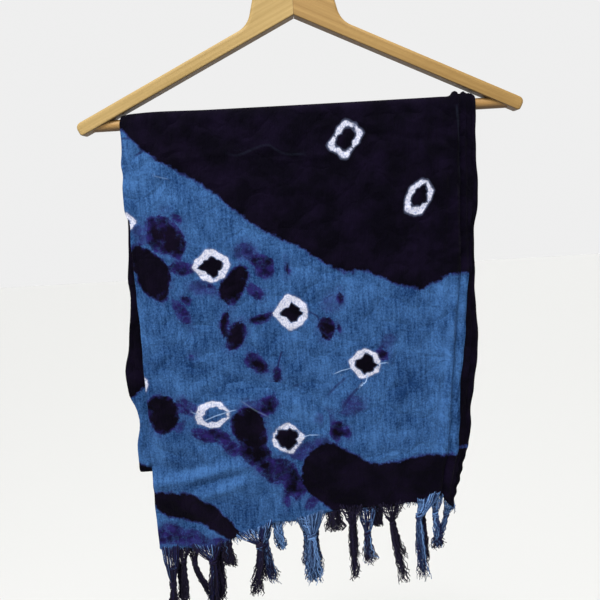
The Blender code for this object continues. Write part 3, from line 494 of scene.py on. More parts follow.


# %% Thin lines left by the creases
# Most lines are dye, held back or drawn in along a sharp crease. The marked lines are painted
# light instead: pale ones are painted highlights on a crease's ridge, and the dark one is painted
# shade in a crease's trough. Each line: half width, whiteness, darkness, and the places (u, v)
# that it passes.
FRONT_LINES = (
    (0.45, 0.75, 0, ((40, 262), (30, 264), (20, 268))),
    (0.5, 0.85, 0, ((57, 271), (55, 278), (47, 285))),
    (0.5, 0.7, 0, ((69, 259), (79, 258))),
    (0.45, 0.7, 0, ((-15, 336), (-8, 334), (4, 335))),
    (0.6, 0.6, 0, ((-118, 311), (-108, 307), (-90, 302), (-84, 301))),
    (0.5, 0.4, 0, ((-127, 304), (-134, 301))),
    (0.8, 0.12, 0, ((-77, 293), (-64, 303), (-47, 313))),
    (0.9, 0, 0.8, ((-33, 241), (-36, 251), (-39, 262))),
    (1.3, 0, 0.55, ((33, 273), (23, 281), (11, 293))),
    (1.5, 0, 0.65, ((50, 280), (37, 294), (26, 309))),
    (0.8, 0, 0.7, ((-1, 199), (6, 203), (10, 208))),
    (0.8, 0, 0.45, ((-12, 341), (-6, 350))),
    (1.2, 0, 0.35, ((-40, 276), (-25, 280), (-12, 276))),
    (1, 0, 0.6, ((-177, 14), (-171, 14), (-163, 15))),
    # Painted shade in the trough of a small crease at the top left, then a painted highlight along
    # the ridge of the next one.
    (1.1, 0, 0.7, ((-153, 24), (-159, 28), (-166, 32))),
    (0.6, 0.16, 0, ((-148, 52), (-141, 54), (-133, 56))),
    # Faint painted highlights along creases in the near-black at the top: the long wavy crease, and
    # the crease by the right edge.
    (1.1, 0.008, 0, (
        (-1, 39), (-11, 39), (-19, 37), (-27, 32), (-32, 28), (-40, 29), (-49, 32), (-57, 35),
        (-65, 37), (-72, 35), (-78, 32),
    )),
    (1, 0.012, 0, ((154, 4), (155, 16), (157, 44), (157, 80))),
)
LINE_FADE = (5.0, 2.6)
LINE_START = (-0.1, 0.0)
LINE_END = (1.02, 0.75)


def line_field(rows, u, v):
    """For the nearest thin line: millimetres across it over its half width, white and dark.

    Whiteness and darkness fade out at the line's ends and away from it.
    """
    nearest, found = np.full_like(u, np.inf), np.zeros((len(u), 3))
    for half_width, white, dark, places in rows:
        for steps, across, away in straight_pieces(places, u, v):
            share = steps / (len(places) - 1)
            fade = ease(*LINE_FADE, away) * ease(*LINE_END, share) * ease(*LINE_START, share)
            values = np.stack([across / half_width, white * fade, dark * fade], 1)
            closer = (away < nearest) & (fade > 0)
            found[closer], nearest[closer] = values[closer], away[closer]
    return found


print(len(FRONT_LINES), "thin lines in front")

# %% Large pools and the band at the corner
# Depths of a pool's lower edge and of the next pool's upper edge, on the front and on the back.
POOL_COLUMNS = ("x", "front", "foot", "back", "back_foot")
POOLS = np.array((
    (-200, 4, 520, 215, 368), (-178, 5, 520, 205, 372), (-155, 28, 520, 190, 366),
    (-124, 49, 520, 172, 378), (-96, 67, 520, 150, 400), (-66, 95, 520, 128, 420),
    (-24, 123, 382, 118, 430), (-10, 130, 357, 118, 430), (11, 145, 345, 122, 420),
    (34, 158, 355, 132, 405), (59, 160, 370, 146, 385), (92, 175, 369, 160, 366),
    (112, 181, 365, 164, 360), (149, 168, 366, 158, 358), (178, 171, 366, 150, 358),
))
BAND_COLUMNS = ("x", "upper", "lower")
CORNER_BAND = np.array((
    (-205, 386, 398), (-182, 390, 407), (-175, 391, 417), (-158, 393, 425), (-137, 399, 431),
    (-127, 406, 436), (-116, 412, 444), (-106, 425, 452), (-97, 436, 456), (-88, 452, 458),
    (-80, 470, 458), (178, 500, 440),
))
# The left side of the lower right pool: how far right it has come at each v.
POOL_SIDE_COLUMNS = ("v", "x")
POOL_SIDE = np.array((
    (355, -20), (377, -20), (393, -18), (404, -11), (416, 3), (426, 15),
))
POOL_STEEPNESS = 0.8
OVER_BAR = 28.0  # length of cloth that lies over the bar


def pool_edges(pools, x, v):
    """Millimetres inside the upper pool and inside the lower one, on the front or on the back."""
    edges = (curve(POOL_COLUMNS, pools, name, x) for name in POOL_COLUMNS[1:])
    front, foot, back, back_foot = edges
    down = -v - OVER_BAR
    return np.where(v > 0, front - v, back - down), np.where(v > 0, v - foot, down - back_foot)


def pool_field(x, v):
    """Millimetres inside the dark pools, negative outside: the nearest of their edges."""
    upper, foot = pool_edges(POOLS, x, v)
    side = x - curve(POOL_SIDE_COLUMNS, POOL_SIDE, "x", v)
    foot = np.where(v > 0, np.minimum(foot, side), foot)
    band_top, band_foot = (curve(BAND_COLUMNS, CORNER_BAND, name, x) for name in BAND_COLUMNS[1:])
    band = np.minimum(v - band_top, band_foot - v)
    return np.maximum(np.maximum(upper, foot), band) * POOL_STEEPNESS


pool_ends = [round(float(curve(POOL_COLUMNS, POOLS, "front", x))) for x in (-150.0, 130.0)]
print("the upper pool ends", pool_ends[0], "mm down at the left and", pool_ends[1], "at the right")

# %% [markdown]
# ## Laying the plies
#
# Every ply follows the same path: up the front drop, over the bar, down the back drop and round
# the crosswise fold. So one function places any point from four values: the part of the path,
# how far along it, the place x across, and its level, the distance outwards from the middle of
# the stack. Modelling four separate sheets would let them cut through each other; with levels
# they can't. The outer ply takes every crease, and the plies under it only the broad folds.

# %% From path and level to a point
BAR_RADIUS = 5.5
WALL = 0.6
BAR_PITCH = 0.85  # from one ply to the next over the bar
HEM_PITCH = 1.5
FOLD_PITCH = 3.0
BAR_MIDDLE = BAR_RADIUS + 0.35 + 1.5 * BAR_PITCH + WALL / 2
DROP_MIDDLE = 8.8  # the drops' stack stands this far from the bar's axis
UNDER_PLY_INSET = 0.5
UNDER_HEM_SAG = 1.5
BACK_SHIFT = 500.0  # the back's crinkle is read this much further on, so that it differs
HEM_FLARE = 1.3  # the front's hem swings in and out in waves of this height and length
HEM_FLARE_LENGTH = 118.0
# Depths between which the flare comes in, the relief comes in, the bunch on the bar dies away,
# and the plies move out from the bar to where they hang.
FLARE_IN = (330.0, 420.0)
RELIEF_IN = (2.0, 40.0)
BUNCH_OUT = (85.0, 0.0)
DROP_IN = (0.0, 55.0)
# Over the bar's right end the cloth bunches up: how far it stands out at each x.
BUNCH_COLUMNS = ("x", "rise")
BUNCH = np.array((
    (-205, -0.2), (-176, -0.2), (-170, 0.9), (-160, 1.5), (-90, 0.9), (0, 0.35), (100, 0),
    (140, 0), (148.5, 0.1), (150.5, 0.6), (152.5, 3.6), (155, 4.6), (157.5, 3), (159, 1.6),
    (161, 3.4), (164, 4.6), (167, 3.2), (170, 4.2), (173, 2.4), (176, 1.6),
))


def lay(part, share, x, level, top):
    """Places points of the stack; top is 1 on the outer ply and 0 on the plies under it.

    Front and back drops hang straight down with their relief, over the bar the path is an arc
    about the bar's axis, and at the crosswise fold an arc about the lower end of the back drop.
    """
    hump = curve(BUNCH_COLUMNS, BUNCH, "rise", x)
    turn = np.radians(share)
    if part == "bar":
        out = BAR_MIDDLE + hump + level
        return np.stack([x, -out * np.cos(turn), out * np.sin(turn)], -1)
    front = part == "front"
    sag = top * drawn_down(x) + (1 - top) * UNDER_HEM_SAG * np.sin(x / 11.0 + 2.0)
    reach = hem_depth(x) + sag if front else fold_depth(x)
    depth = reach * ((1 - share) if front else share if part == "back" else 1.0)
    folds, creases = (FRONT_FOLDS, FRONT_CREASES) if front else (BACK_FOLDS, BACK_CREASES)
    fine = narrow_creases(creases, x, depth) + crinkle(x, depth if front else depth + BACK_SHIFT)
    relief = bells(FOLD_COLUMNS, folds, x, depth) + fine * top - UNDER_PLY_INSET * (1 - top)
    if front:
        flare = HEM_FLARE * np.sin(2 * math.pi * x / HEM_FLARE_LENGTH)
        relief = relief + flare * ease(*FLARE_IN, depth)
    relief = relief * ease(*RELIEF_IN, depth) + hump * ease(*BUNCH_OUT, depth) ** 1.5
    middle = BAR_MIDDLE + (DROP_MIDDLE - BAR_MIDDLE) * ease(*DROP_IN, depth) + relief
    if front:
        return np.stack([x, -(middle + level), -depth], -1)
    if part == "back":
        return np.stack([x, middle + level, -depth], -1)
    return np.stack([x, middle + level * np.cos(turn), -depth - level * np.sin(turn)], -1)


print("cloth over the bar reaches", round(BAR_MIDDLE + 1.5 * BAR_PITCH + WALL / 2, 1), "mm out")


# %% Spacing and edges of the plies
def pitch_of(part, share):
    """Spacing of the plies: tight over the bar, looser at the hems, a soft roll at the fold."""
    if part == "front":
        return HEM_PITCH + (BAR_PITCH - HEM_PITCH) * ease(0.8, 1.0, share)
    if part == "back":
        looser = BAR_PITCH + (HEM_PITCH - BAR_PITCH) * ease(0.0, 0.2, share)
        return looser + (FOLD_PITCH - HEM_PITCH) * ease(0.7, 1.0, share)
    return np.full_like(share, BAR_PITCH if part == "bar" else FOLD_PITCH)


LEFT_SWAY = 0.35
SELVEDGE_SWAY = 0.55
FRAY = 0.8  # the inner plies' selvedges are frayed near the hem


def edge_place(part, share, name):
    """Where an edge runs, reading its table at the depth that the edge itself has there.

    That depth depends on the place, so the two are worked out in turn a few times.
    """
    front, left = part == "front", name == "left"
    if left:
        columns, table = LEFT_COLUMNS, FRONT_LEFT if front else BACK_LEFT
    else:
        columns, table = SELVEDGE_COLUMNS, FRONT_SELVEDGES if front else BACK_SELVEDGES
    x = np.zeros_like(share)
    for _ in range(4):
        if front:
            depth = hem_depth(x) * (1 - share)
        else:
            depth = fold_depth(x) * (share if part == "back" else float(part == "crosswise"))
        x = curve(columns, table, name, depth)
    sway = LEFT_SWAY if left else SELVEDGE_SWAY
    wave = sway * np.sin(depth / 13.0 + len(name)) + 0.5 * sway * np.sin(depth / 5.1)
    if front and name in ("b2", "a2"):
        wave = wave + FRAY * ease(330.0, 400.0, depth) * np.sin(depth / 2.1)
    return x + wave * ease(0.0, 30.0, depth)


half_way = [float(edge_place("front", np.array([0.5]), name)[0]) for name in ("left", "a1")]
print("half way down, the front ply is", round(half_way[1] - half_way[0]), "mm wide")

# %% [markdown]
# ## The two runs of the cloth
#
# Each run is one closed thin shell. Its section is a U lying on its side: the first ply from its
# selvedge to the left fold, half a turn, and the second ply back to its own selvedge, once for
# each face of the wall. Sweeping that section along the path gives a grid of points, and the grid
# gives the faces. The first ply has the most columns, because it is the one that is seen whole.

# %% The section of one run
TURN = np.linspace(0.0, math.pi, 8)[1:-1]
LEFT_TUCK = 1.5  # the lengthwise fold bends in a little as it crosses the bar
ROUND_FOLD = 9.0  # millimetres of cloth for each radian of the crosswise fold
# An under ply takes creases too where it shows: near its own edge, and at the left fold.
OWN_EDGE = (30.0, 8.0)
AT_LEFT = (-150.0, -176.0)


def spread(count, ends):
    """Shares from 0 to 1, closer together at both ends by the given amount."""
    t = np.linspace(0.0, 1.0, count)
    return t - ends * np.sin(2 * math.pi * t) / (2 * math.pi)


def section(part, share, side, names, columns, skin):
    """One face of the U: x across, level in the stack, and how much of the creases it takes.

    The last value is u, the place across the cloth if the second ply were opened out.
    """
    pitch = pitch_of(part, share)
    first, second, left = (edge_place(part, share, name) for name in (*names, "left"))
    tuck = LEFT_TUCK * np.sin(np.radians(share)) if part == "bar" else 0.0
    left = left + (pitch + WALL) / 2 + tuck
    bend = pitch / 2 + skin * WALL / 2
    first_x = left + (first - left) * columns[0][::-1]
    second_x = left + (second - left) * columns[1]
    x = np.concatenate([first_x, left - bend * np.sin(TURN), second_x], 1)
    ones = [np.ones((1, len(c))) for c in columns]
    level = side * (pitch + bend * np.concatenate([ones[0], np.cos(TURN)[None], -ones[1]], 1))
    first_ply = np.concatenate([ones[0], (1 + np.cos(TURN[None])) / 2, 0 * ones[1]], 1)
    own_edge = ease(*OWN_EDGE, second - x) * (1 - first_ply)
    if side > 0:
        top = np.maximum(first_ply, own_edge)
    else:
        top = own_edge + 0.7 * first_ply * ease(*AT_LEFT, x)
    return x, level, top, np.where(first_ply > 0.5, x, 2 * left - x)


print("the left fold is rounded by", len(TURN), "columns of points")


# %% Sweep the section along the path
def sweep_run(name, side, names, columns, path):
    """The closed shell of one run, and for each point its u and v on the cloth and its x."""
    grids = []
    for skin in (1, -1):
        blocks = []
        for part, share in path:
            share = share[:, None]
            x, level, top, u = section(part, share, side, names, columns, skin)
            points = lay(part, share, x, level, top)
            down = -points[..., 2]
            v = {
                "front": down,
                "bar": -OVER_BAR * share / 180.0 + 0 * x,
                "back": -down - OVER_BAR,
                "crosswise": -fold_depth(x) - OVER_BAR - ROUND_FOLD * np.radians(share),
            }[part]
            blocks.append(np.dstack([points, u, v, x]))
        grids.append(np.concatenate(blocks))
    grid = np.concatenate([grids[0], grids[1][:, ::-1]], 1)
    rows, count = grid.shape[:2]
    i = np.arange(count)
    j = (i + 1) % count
    low = (np.arange(rows - 1) * count)[:, None]
    walls = np.stack([low + i, low + count + i, low + count + j, low + j], -1).reshape(-1, 4)
    k = np.arange(count // 2 - 1)
    rim = np.stack([k, k + 1, count - 2 - k, count - 1 - k], -1)
    flat = grid.reshape(-1, 6)
    piece = new_piece(name, flat[:, :3], walls, rim, rim[:, ::-1] + (rows - 1) * count)
    return piece, *flat[:, 3:].T


# The rows of points on each part of the path: shares of a drop, and degrees of an arc. The inner
# run stops just short of the crosswise fold, so that it doesn't touch the outer one.
STOP_SHORT = 0.9995
RISE = ("front", np.linspace(0.0, 1.0, 172))
OVER = ("bar", np.linspace(0.0, 180.0, 15)[1:-1])
FALL = ("back", np.linspace(0.0, 1.0, 66))
ROUND = ("crosswise", np.linspace(0.0, 180.0, 9)[1:])
MEET = ("back", np.linspace(0.0, 1.0, 66) * STOP_SHORT)
UNDER_COLUMNS = 1 - (1 - np.linspace(0.0, 1.0, 40)) ** 1.8
FINE_COLUMNS = (spread(138, 0.25), UNDER_COLUMNS)
PLAIN_COLUMNS = (spread(60, 0.5), UNDER_COLUMNS)

outer_cloth, outer_u, outer_v, outer_x = sweep_run(
    "stole_outer_cloth", 1, ("a1", "b1"), FINE_COLUMNS, (RISE, OVER, FALL, ROUND)
)
inner_cloth, inner_u, inner_v, inner_x = sweep_run(
    "stole_inner_cloth", -1, ("a2", "b2"), PLAIN_COLUMNS, (RISE, OVER, MEET)
)

# %% [markdown]
# ## Painting the dye's fields
#
# The dye could be drawn as an image, but then it would have one fixed sharpness. Instead each
# point of the cloth stores how many millimetres it lies inside or outside each dyed shape. Such
# distances change smoothly from point to point, and the material can cut them off at zero with a
# crisp, feathered edge of any fineness.

# %% Store the fields
INNER_POOLS = np.array((
    (-208, 343, 360, 293, 361), (-186, 340, 360, 277, 368), (-120, 330, 362, 262, 370),
    (0, 340, 372, 250, 356), (100, 352, 366, 262, 360), (140, 358, 360.5, 268, 360),
    (178, 358, 360.5, 270, 360),
))
INNER_RINGS = (
    (-60, 200, 19, 17, 10, 1.5, 0.5, 0, 11.6, 10.2, 12, 0.95, 1),
    (60, 110, 18, 15, 40, 1.8, 0, 0.8, 10.8, 8.8, 44, 1.3, 1),
    (70, 290, 17, 16, 0, 1.5, -0.6, 0, 10.4, 9.8, -6, 0.95, 1),
)


def paint_cloth(piece, u, v, rings, blots, lines, pool):
    """Stores the cloth's own coordinates in metres and the fields in millimetres."""
    fields = {"weave": np.stack([u, v, 0 * u], 1) * MM, "pool": pool}
    fields["ring"], fields["star"] = ring_fields(rings, u, v)
    fields["blot"], fields["dye"] = blot_fields(blots, u, v)
    fields["line"] = line_field(lines, u, v)
    fields["tint"] = bells(SPOT_COLUMNS, TINTS_AND_PAINTED_SHADE, u, v)
    for name, values in fields.items():
        paint(piece, name, values)


outer_pool = pool_field(outer_x, outer_v)
outer_blots = FRONT_BLOTS + BACK_BLOTS
paint_cloth(outer_cloth, outer_u, outer_v, OUTER_RINGS, outer_blots, FRONT_LINES, outer_pool)
inner_pool = np.maximum(*pool_edges(INNER_POOLS, inner_x, inner_v))
paint_cloth(inner_cloth, inner_u, inner_v, INNER_RINGS, BACK_BLOTS[:4], (), inner_pool)
print("dark pools hold", round(100 * float((outer_pool > 0).mean())), "% of the outer points")

# %% [markdown]
# ## Writing materials as sums
#
# A material is a net of nodes, and most of them are plain sums. Written out node by node, the
# sums are hard to read. So a small class stands for a value on its way through the net: adding or
# multiplying two of them adds the Math node that does it, and a material reads like a formula.

# %% A short way to write nodes
class Wire:
    """A value that runs from one node to the next. +, -, *, ** and abs() add a Math node."""

    def __init__(self, tree, socket):
        self.tree, self.socket = tree, socket

    def maths(self, operation, other=0.0):
        return wire(self.tree, "Math", 0, {0: self, 1: other}, operation=operation)

    __add__ = partialmethod(maths, "ADD")
    __sub__ = partialmethod(maths, "SUBTRACT")
    __mul__ = partialmethod(maths, "MULTIPLY")
    __pow__ = partialmethod(maths, "POWER")
    __abs__ = partialmethod(maths, "ABSOLUTE")


def plug(made, inputs):
    """Links each wire to its socket of the node, and sets any other value on the socket."""
    for socket, value in inputs.items():
        if isinstance(value, Wire):
            value.tree.links.new(value.socket, made.inputs[socket])
        else:
            made.inputs[socket].default_value = value


def wire(tree, kind, output, inputs, **settings):
    """Adds a node, plugs its inputs and gives the named output."""
    made = tree.nodes.new("ShaderNode" + kind)
    for name, value in settings.items():
        setattr(made, name, value)
    plug(made, inputs)
    return Wire(tree, made.outputs[output])


# %% Nodes that several finishes use
def stretched(vector, scale, turn=(0.0, 0.0, 0.0)):
    """The coordinates turned and stretched."""
    inputs = {"Vector": vector, "Rotation": turn, "Scale": scale}
    return wire(vector.tree, "Mapping", "Vector", inputs)


def noise(vector, scale, detail=3.0, roughness=0.55, output="Fac"):
    """Noise between about 0.2 and 0.8. Three numbers as the scale stretch it."""
    if isinstance(scale, tuple):
        vector, scale = stretched(vector, scale), 1.0
    inputs = {"Vector": vector, "Scale": scale, "Detail": detail, "Roughness": roughness}
    return wire(vector.tree, "TexNoise", output, inputs)


def field(tree, name, output="Fac"):
    """A painted number, or with output "Vector" a painted vector."""
    return wire(tree, "Attribute", output, {}, attribute_name=name)


def part_of(vector, letter):
    """The X, Y or Z of a vector."""
    return wire(vector.tree, "SeparateXYZ", letter, {0: vector})


def cut_off(value, low, high):
    """0 below low, 1 above high and a straight ramp between."""
    inputs = {"Value": value, "From Min": low, "From Max": high}
    return wire(value.tree, "MapRange", "Result", inputs)


def larger(a, b):
    """The larger of two values."""
    return a.maths("MAXIMUM", b)


def mix(share, a, b):
    """Two colours mixed: all a where the share is 0, and all b where it is 1.

    Blender's Mix node keeps its colours on inputs 6 and 7 and on output 2.
    """
    tree = next(value.tree for value in (share, a, b) if isinstance(value, Wire))
    return wire(tree, "Mix", 2, {0: share, 6: a, 7: b}, data_type="RGBA")


# %% Colours, shaders and bump
def srgb(red, green, blue):
    """A colour from its 0 to 255 values, made linear."""
    parts = np.array((red, green, blue)) / 255
    linear = np.where(parts <= 0.04045, parts / 12.92, ((parts + 0.055) / 1.055) ** 2.4)
    return (*(float(part) for part in linear), 1.0)


def faint_sheen(weight):
    """The shader's values for the fine fuzz that stands up from cotton."""
    return {"Sheen Weight": weight, "Sheen Roughness": 0.5}


def new_material(name, even):
    """A material with its shader's even values set on the shader's own sockets."""
    material = bpy.data.materials.new(name)
    material.use_nodes = True
    shader = material.node_tree.nodes["Principled BSDF"]
    plug(shader, even)
    return material, material.node_tree, shader


def bumped(height, strength, metres):
    """The surface's normal after a height that stands this many metres from low to high."""
    inputs = {"Height": height, "Strength": strength, "Distance": metres}
    return wire(height.tree, "Bump", "Normal", inputs)


print("a grey of 128 is", round(srgb(128, 128, 128)[0], 3), "in linear light")

# %% [markdown]
# ## The dyed cotton
#
# Thin crinkled cotton is matt with a faint sheen, and its indigo is never even: it is mottled,
# streaked along the warp and grainy where the yarns stand up. The material reads the painted
# fields, shakes their edges with noise, and lays blue, violet, near-black and undyed white over
# each other in that order. The weave itself is finer than the mesh, so it is bump.

# %% Indigo, violet, near-black and white
BLUE_DEEP = srgb(12, 40, 82)
BLUE = srgb(34, 71, 120)
BLUE_PALE = srgb(67, 109, 164)
VIOLET = srgb(24, 22, 69)
VIOLET_PALE = srgb(37, 30, 91)
NIGHT = srgb(2, 0, 10)
NIGHT_WORN = srgb(12, 5, 25)
YARN_DEEP = srgb(10, 26, 60)
YARN_PALE = srgb(118, 158, 214)
YARN_DARK = srgb(36, 31, 54)
UNDYED = srgb(210, 210, 224)
UNDYED_SHADE = srgb(136, 148, 186)
LINE_PALE = srgb(158, 186, 226)


print("the undyed white is", [round(part, 2) for part in UNDYED[:3]])


# %% The blue ground and the stains on it
def blue_ground(tree, weave, clouds, cells):
    """Blue: streaks along the warp, clouds, the grain of the yarns and the painted tints, which are
    partly painted highlight and shade, and paler along some of the small creases, which are the
    edges of crumpled cells."""
    streaks = noise(weave, (330.0, 42.0, 1.0), 4.0)
    grain = noise(weave, (560.0, 430.0, 1.0), 3.0, 0.7)
    # The tints bring painted highlight and painted shade into the blue, as well as uneven dye.
    tone = streaks * 0.28 + clouds * 0.3 + grain * 0.42 + field(tree, "tint") * 0.08
    blue = mix(0.15, mix(cut_off(tone, 0.4, 0.6), BLUE_DEEP, BLUE_PALE), BLUE)
    # Paler blue where a crumpled cell's edge meets light clouds.
    paler_cell_edges = cut_off(cells, 0.035, 0.0) * cut_off(clouds, 0.5, 0.66)
    return mix(paler_cell_edges * 0.4, blue, BLUE_PALE)


def stains(tree, weave, clouds, feather, shake):
    """The blots: how violet they are, and how near black.

    Lobes of noise push a blot's edge in and out, a thin wash runs out past it, and undyed veins
    run through it, where a ridge of noise passes its middle value.
    """
    mottle = noise(weave, 95.0, 4.0, 0.6) - 0.5
    lobes = noise(weave, 110.0) - 0.5
    blot = field(tree, "blot") + lobes * 12.0
    inside = cut_off(blot + shake * 1.1, -1.3, 0.9)
    wash = cut_off(blot, -6.5, 0.5) * cut_off(feather * 0.5 + clouds * 0.5, 0.44, 0.56)
    dye = field(tree, "dye") + mottle * 0.55 + cut_off(blot, 0.0, 9.0) * 0.16
    veins = abs(noise(weave, 74.0, 5.0, 0.68) - 0.5)
    unveined = cut_off(veins, -0.03, 0.03)
    violet = larger(inside * cut_off(dye * 0.95 + 0.2, 0.0, 1.0), wash * 0.55) * unveined
    filled = cut_off(unveined + cut_off(blot, 0.0, 4.0), 0.3, 0.9)
    soaked = inside * cut_off(dye, 0.82, 1.06) * filled
    return violet, soaked, mix(cut_off(mottle, -0.08, 0.12), VIOLET_PALE, VIOLET)


# %% The cotton, layer by layer
def cloth_relief(weave, cells):
    """Height of the weave: crepe, threads, the crumpled cells' facets, and pleats at the right."""
    crepe = noise(weave, (420.0, 90.0, 1.0), 5.0, 0.62)
    threads = noise(weave, (1300.0, 1150.0, 1.0), 1.0)
    pleats = noise(weave, (150.0, 5.0, 1.0), 3.0, 0.6) * cut_off(part_of(weave, "X"), -0.07, 0.09)
    return crepe * 0.5 + threads * 0.14 + cut_off(cells, 0.0, 0.3) * 0.5 + pleats * 0.9


def cotton_material():
    """Mottled blue under violet, near-black and white, each cut from a painted field."""
    even = {"Roughness": 0.9, "Specular IOR Level": 0.06, **faint_sheen(0.01)}
    material, tree, shader = new_material("crinkled_cotton", even)
    weave = field(tree, "weave", "Vector")
    clouds = noise(weave, 30.0)
    push = noise(weave, 26.0, 3.0, 0.5, "Color")
    push = wire(tree, "VectorMath", "Vector", {0: push, "Scale": 0.045}, operation="SCALE")
    crumpled = wire(tree, "VectorMath", "Vector", {0: weave, 1: push}, operation="ADD")
    inputs = {"Vector": crumpled, "Scale": 34.0}
    cells = wire(tree, "TexVoronoi", "Distance", inputs, feature="DISTANCE_TO_EDGE")

    feather = noise(weave, (560.0, 450.0, 1.0), 3.0, 0.6)
    shake = noise(weave, 170.0, 5.0, 0.62) * 7.0 + feather * 3.0 - 5.0
    wander = noise(weave, 62.0, 2.0) - 0.5
    pool = field(tree, "pool") + shake + wander * 7.0
    stain, soaked, hue = stains(tree, weave, clouds, feather, shake)
    colour = blue_ground(tree, weave, clouds, cells)
    colour = mix(larger(stain, cut_off(pool, -1.9, 0.4) * 0.8), colour, hue)

    line = field(tree, "line", "Vector")
    thin = cut_off(abs(part_of(line, "X")), 1.5, 0.6)
    # Dark lines: violet dye lines, and painted shade in a crease's trough.
    colour = mix(thin * part_of(line, "Z"), colour, VIOLET)

    worn = mix(cut_off(clouds, 0.42, 0.66), NIGHT, NIGHT_WORN)
    star = cut_off(field(tree, "star") + shake * 0.4, -0.3, 0.4)
    colour = mix(larger(larger(cut_off(pool, -0.2, 1.4), soaked), star), colour, worn)

    ring = field(tree, "ring") + shake * 0.26
    white = mix(cut_off(feather, 0.3, 0.56), UNDYED_SHADE, UNDYED)
    colour = mix(cut_off(ring, -1.9, 0.4) * 0.3, colour, UNDYED_SHADE)
    colour = mix(cut_off(ring, -0.1, 1.0), colour, white)
    # Pale lines: undyed lines, and painted highlights on a few crease ridges.
    colour = mix(thin * part_of(line, "Y"), colour, LINE_PALE)
    plug(shader, {"Base Color": colour, "Normal": bumped(cloth_relief(weave, cells), 1.0, 0.003)})
    return material


cotton = cotton_material()
for piece in (outer_cloth, inner_cloth):
    piece.data.materials.append(cotton)
print("cotton has", len(cotton.node_tree.nodes), "nodes")

# %% [markdown]
# ## The knotted fringe
#
# At each hem the last crosswise threads are pulled out, and the warp yarns left over are gathered
# in bunches, knotted and left hanging. Hair particles could grow them, but a bunch has to close
# into its knot. Here every yarn is a thin tube along a centre line that is worked out for all the
# yarns of a bunch together: converging above the knot, wrapped round it, and spreading below.

# %% Tassels on each hem
# The gather starts at x + pull and is 2 * fan wide. Gather and skirt are the lengths above and
# below the knot, and a knot of 0 is a loose bunch. Tones go from 0, blue, to 1, nearly black.
TASSEL_COLUMNS = (
    "x", "pull", "fan", "gather", "knot", "skirt", "lean", "spread", "tone", "tip_tone",
)
TASSELS = {
    "a1": (
        (-171, 0, 10, 38, 4.2, 46, -5, 4.5, 0.52, 1),
        (-124, -5, 18, 13, 4.2, 66, -3, 7, 0.45, 0.85),
        (-70, -6, 20, 15, 4.4, 61, -8, 6, 0.25, 1),
        (-12, 0, 15, 19, 5, 58, -1, 9, 0, 0.12),
        (33, 0, 13, 18, 2.5, 64, 1, 4.6, 1, 0.85),
        (77, 1, 15, 17, 2.3, 74, 12, 4.4, 1, 1),
        (107, 12, 12, 14, 3.6, 78, 4, 7, 0, 0.45),
    ),
    "b1": (
        (-158, 0, 8, 17, 3.2, 70, -4, 4, 1, 1),
        (-110, 0, 8, 16, 0, 20, 5, 6, 0.8, 1),
        (-64, 0, 9, 18, 3.6, 52, 6, 5.5, 0.15, 0.5),
        (-14, 0, 9, 24, 4.2, 54, 1, 7, 0.3, 0.4),
        (14, 0, 5, 14, 0, 16, 0, 11, 1, 1),
        (50, 0, 11, 31, 3.8, 37, 2, 7, 0.35, 0.6),
        (126, 2, 7, 22, 3.2, 42, 4, 4.5, 0.1, 0.5),
    ),
    "b2": (
        (-147, 0, 7, 20, 3.2, 56, 22, 4, 1, 1),
        (-122, 0, 8, 18, 3.6, 58, 1, 5, 0.9, 1),
        (-50, 0, 6, 16, 0, 24, 2, 5, 0.1, 0.25),
        (-8, 0, 9, 24, 4, 50, 0, 6, 0.4, 0.4),
        (33, 0, 7, 19, 2.6, 56, 1, 4.5, 1, 0.8),
        (61, 0, 7, 16, 0, 12, 2, 4.5, 1, 1),
        (113, 0, 8, 16, 3.6, 64, 1, 4.5, 1, 1),
    ),
    "a2": (
        (-166, 0, 9, 36, 3.4, 40, 0, 4, 1, 1),
        (-118, 0, 10, 18, 3.6, 54, -2, 5, 0.9, 1),
        (-66, 0, 10, 20, 3.6, 50, 0, 6, 0.9, 1),
        (-18, 0, 9, 24, 3.8, 46, 2, 6, 0.2, 0.4),
        (36, 0, 7, 19, 2.6, 50, 0, 4.5, 1, 1),
        (80, 0, 8, 19, 2.6, 56, 9, 4.5, 1, 1),
        (140, 3, 6, 16, 3.2, 44, -14, 4.5, 0, 0.6),
    ),
}
print(sum(map(len, TASSELS.values())), "tassels and loose bunches on", len(TASSELS), "hems")

# %% How a yarn becomes a tube
TUBE_SIDES = 5


def tubes(centres, radii):
    """Tubes along centre lines (yarn, station, xyz) whose radii are (yarn, station).

    Each section is a ring, centre + radius * (cos * side + sin * ahead), square to the line.
    """
    along = np.gradient(centres, axis=1)
    along /= np.linalg.norm(along, axis=2, keepdims=True) + 1e-9
    side = np.cross(along, np.array((0.3, 1.0, 0.2)))
    side /= np.linalg.norm(side, axis=2, keepdims=True) + 1e-9
    ahead = np.cross(side, along)
    turn = np.arange(TUBE_SIDES) * 2 * math.pi / TUBE_SIDES
    ring = np.cos(turn)[:, None] * side[:, :, None] + np.sin(turn)[:, None] * ahead[:, :, None]
    points = centres[:, :, None] + radii[:, :, None, None] * ring
    yarns, stations = centres.shape[:2]
    first = (np.arange(yarns) * stations * TUBE_SIDES)[:, None, None]
    low = first + (np.arange(stations - 1) * TUBE_SIDES)[:, None]
    i = np.arange(TUBE_SIDES)
    j = (i + 1) % TUBE_SIDES
    high = low + TUBE_SIDES
    walls = np.stack([low + i, low + j, high + j, high + i], -1).reshape(-1, 4)
    start = first[:, 0] + i[::-1]
    end = first[:, 0] + (stations - 1) * TUBE_SIDES + i
    return points.reshape(-1, 3), walls, np.concatenate([start, end])


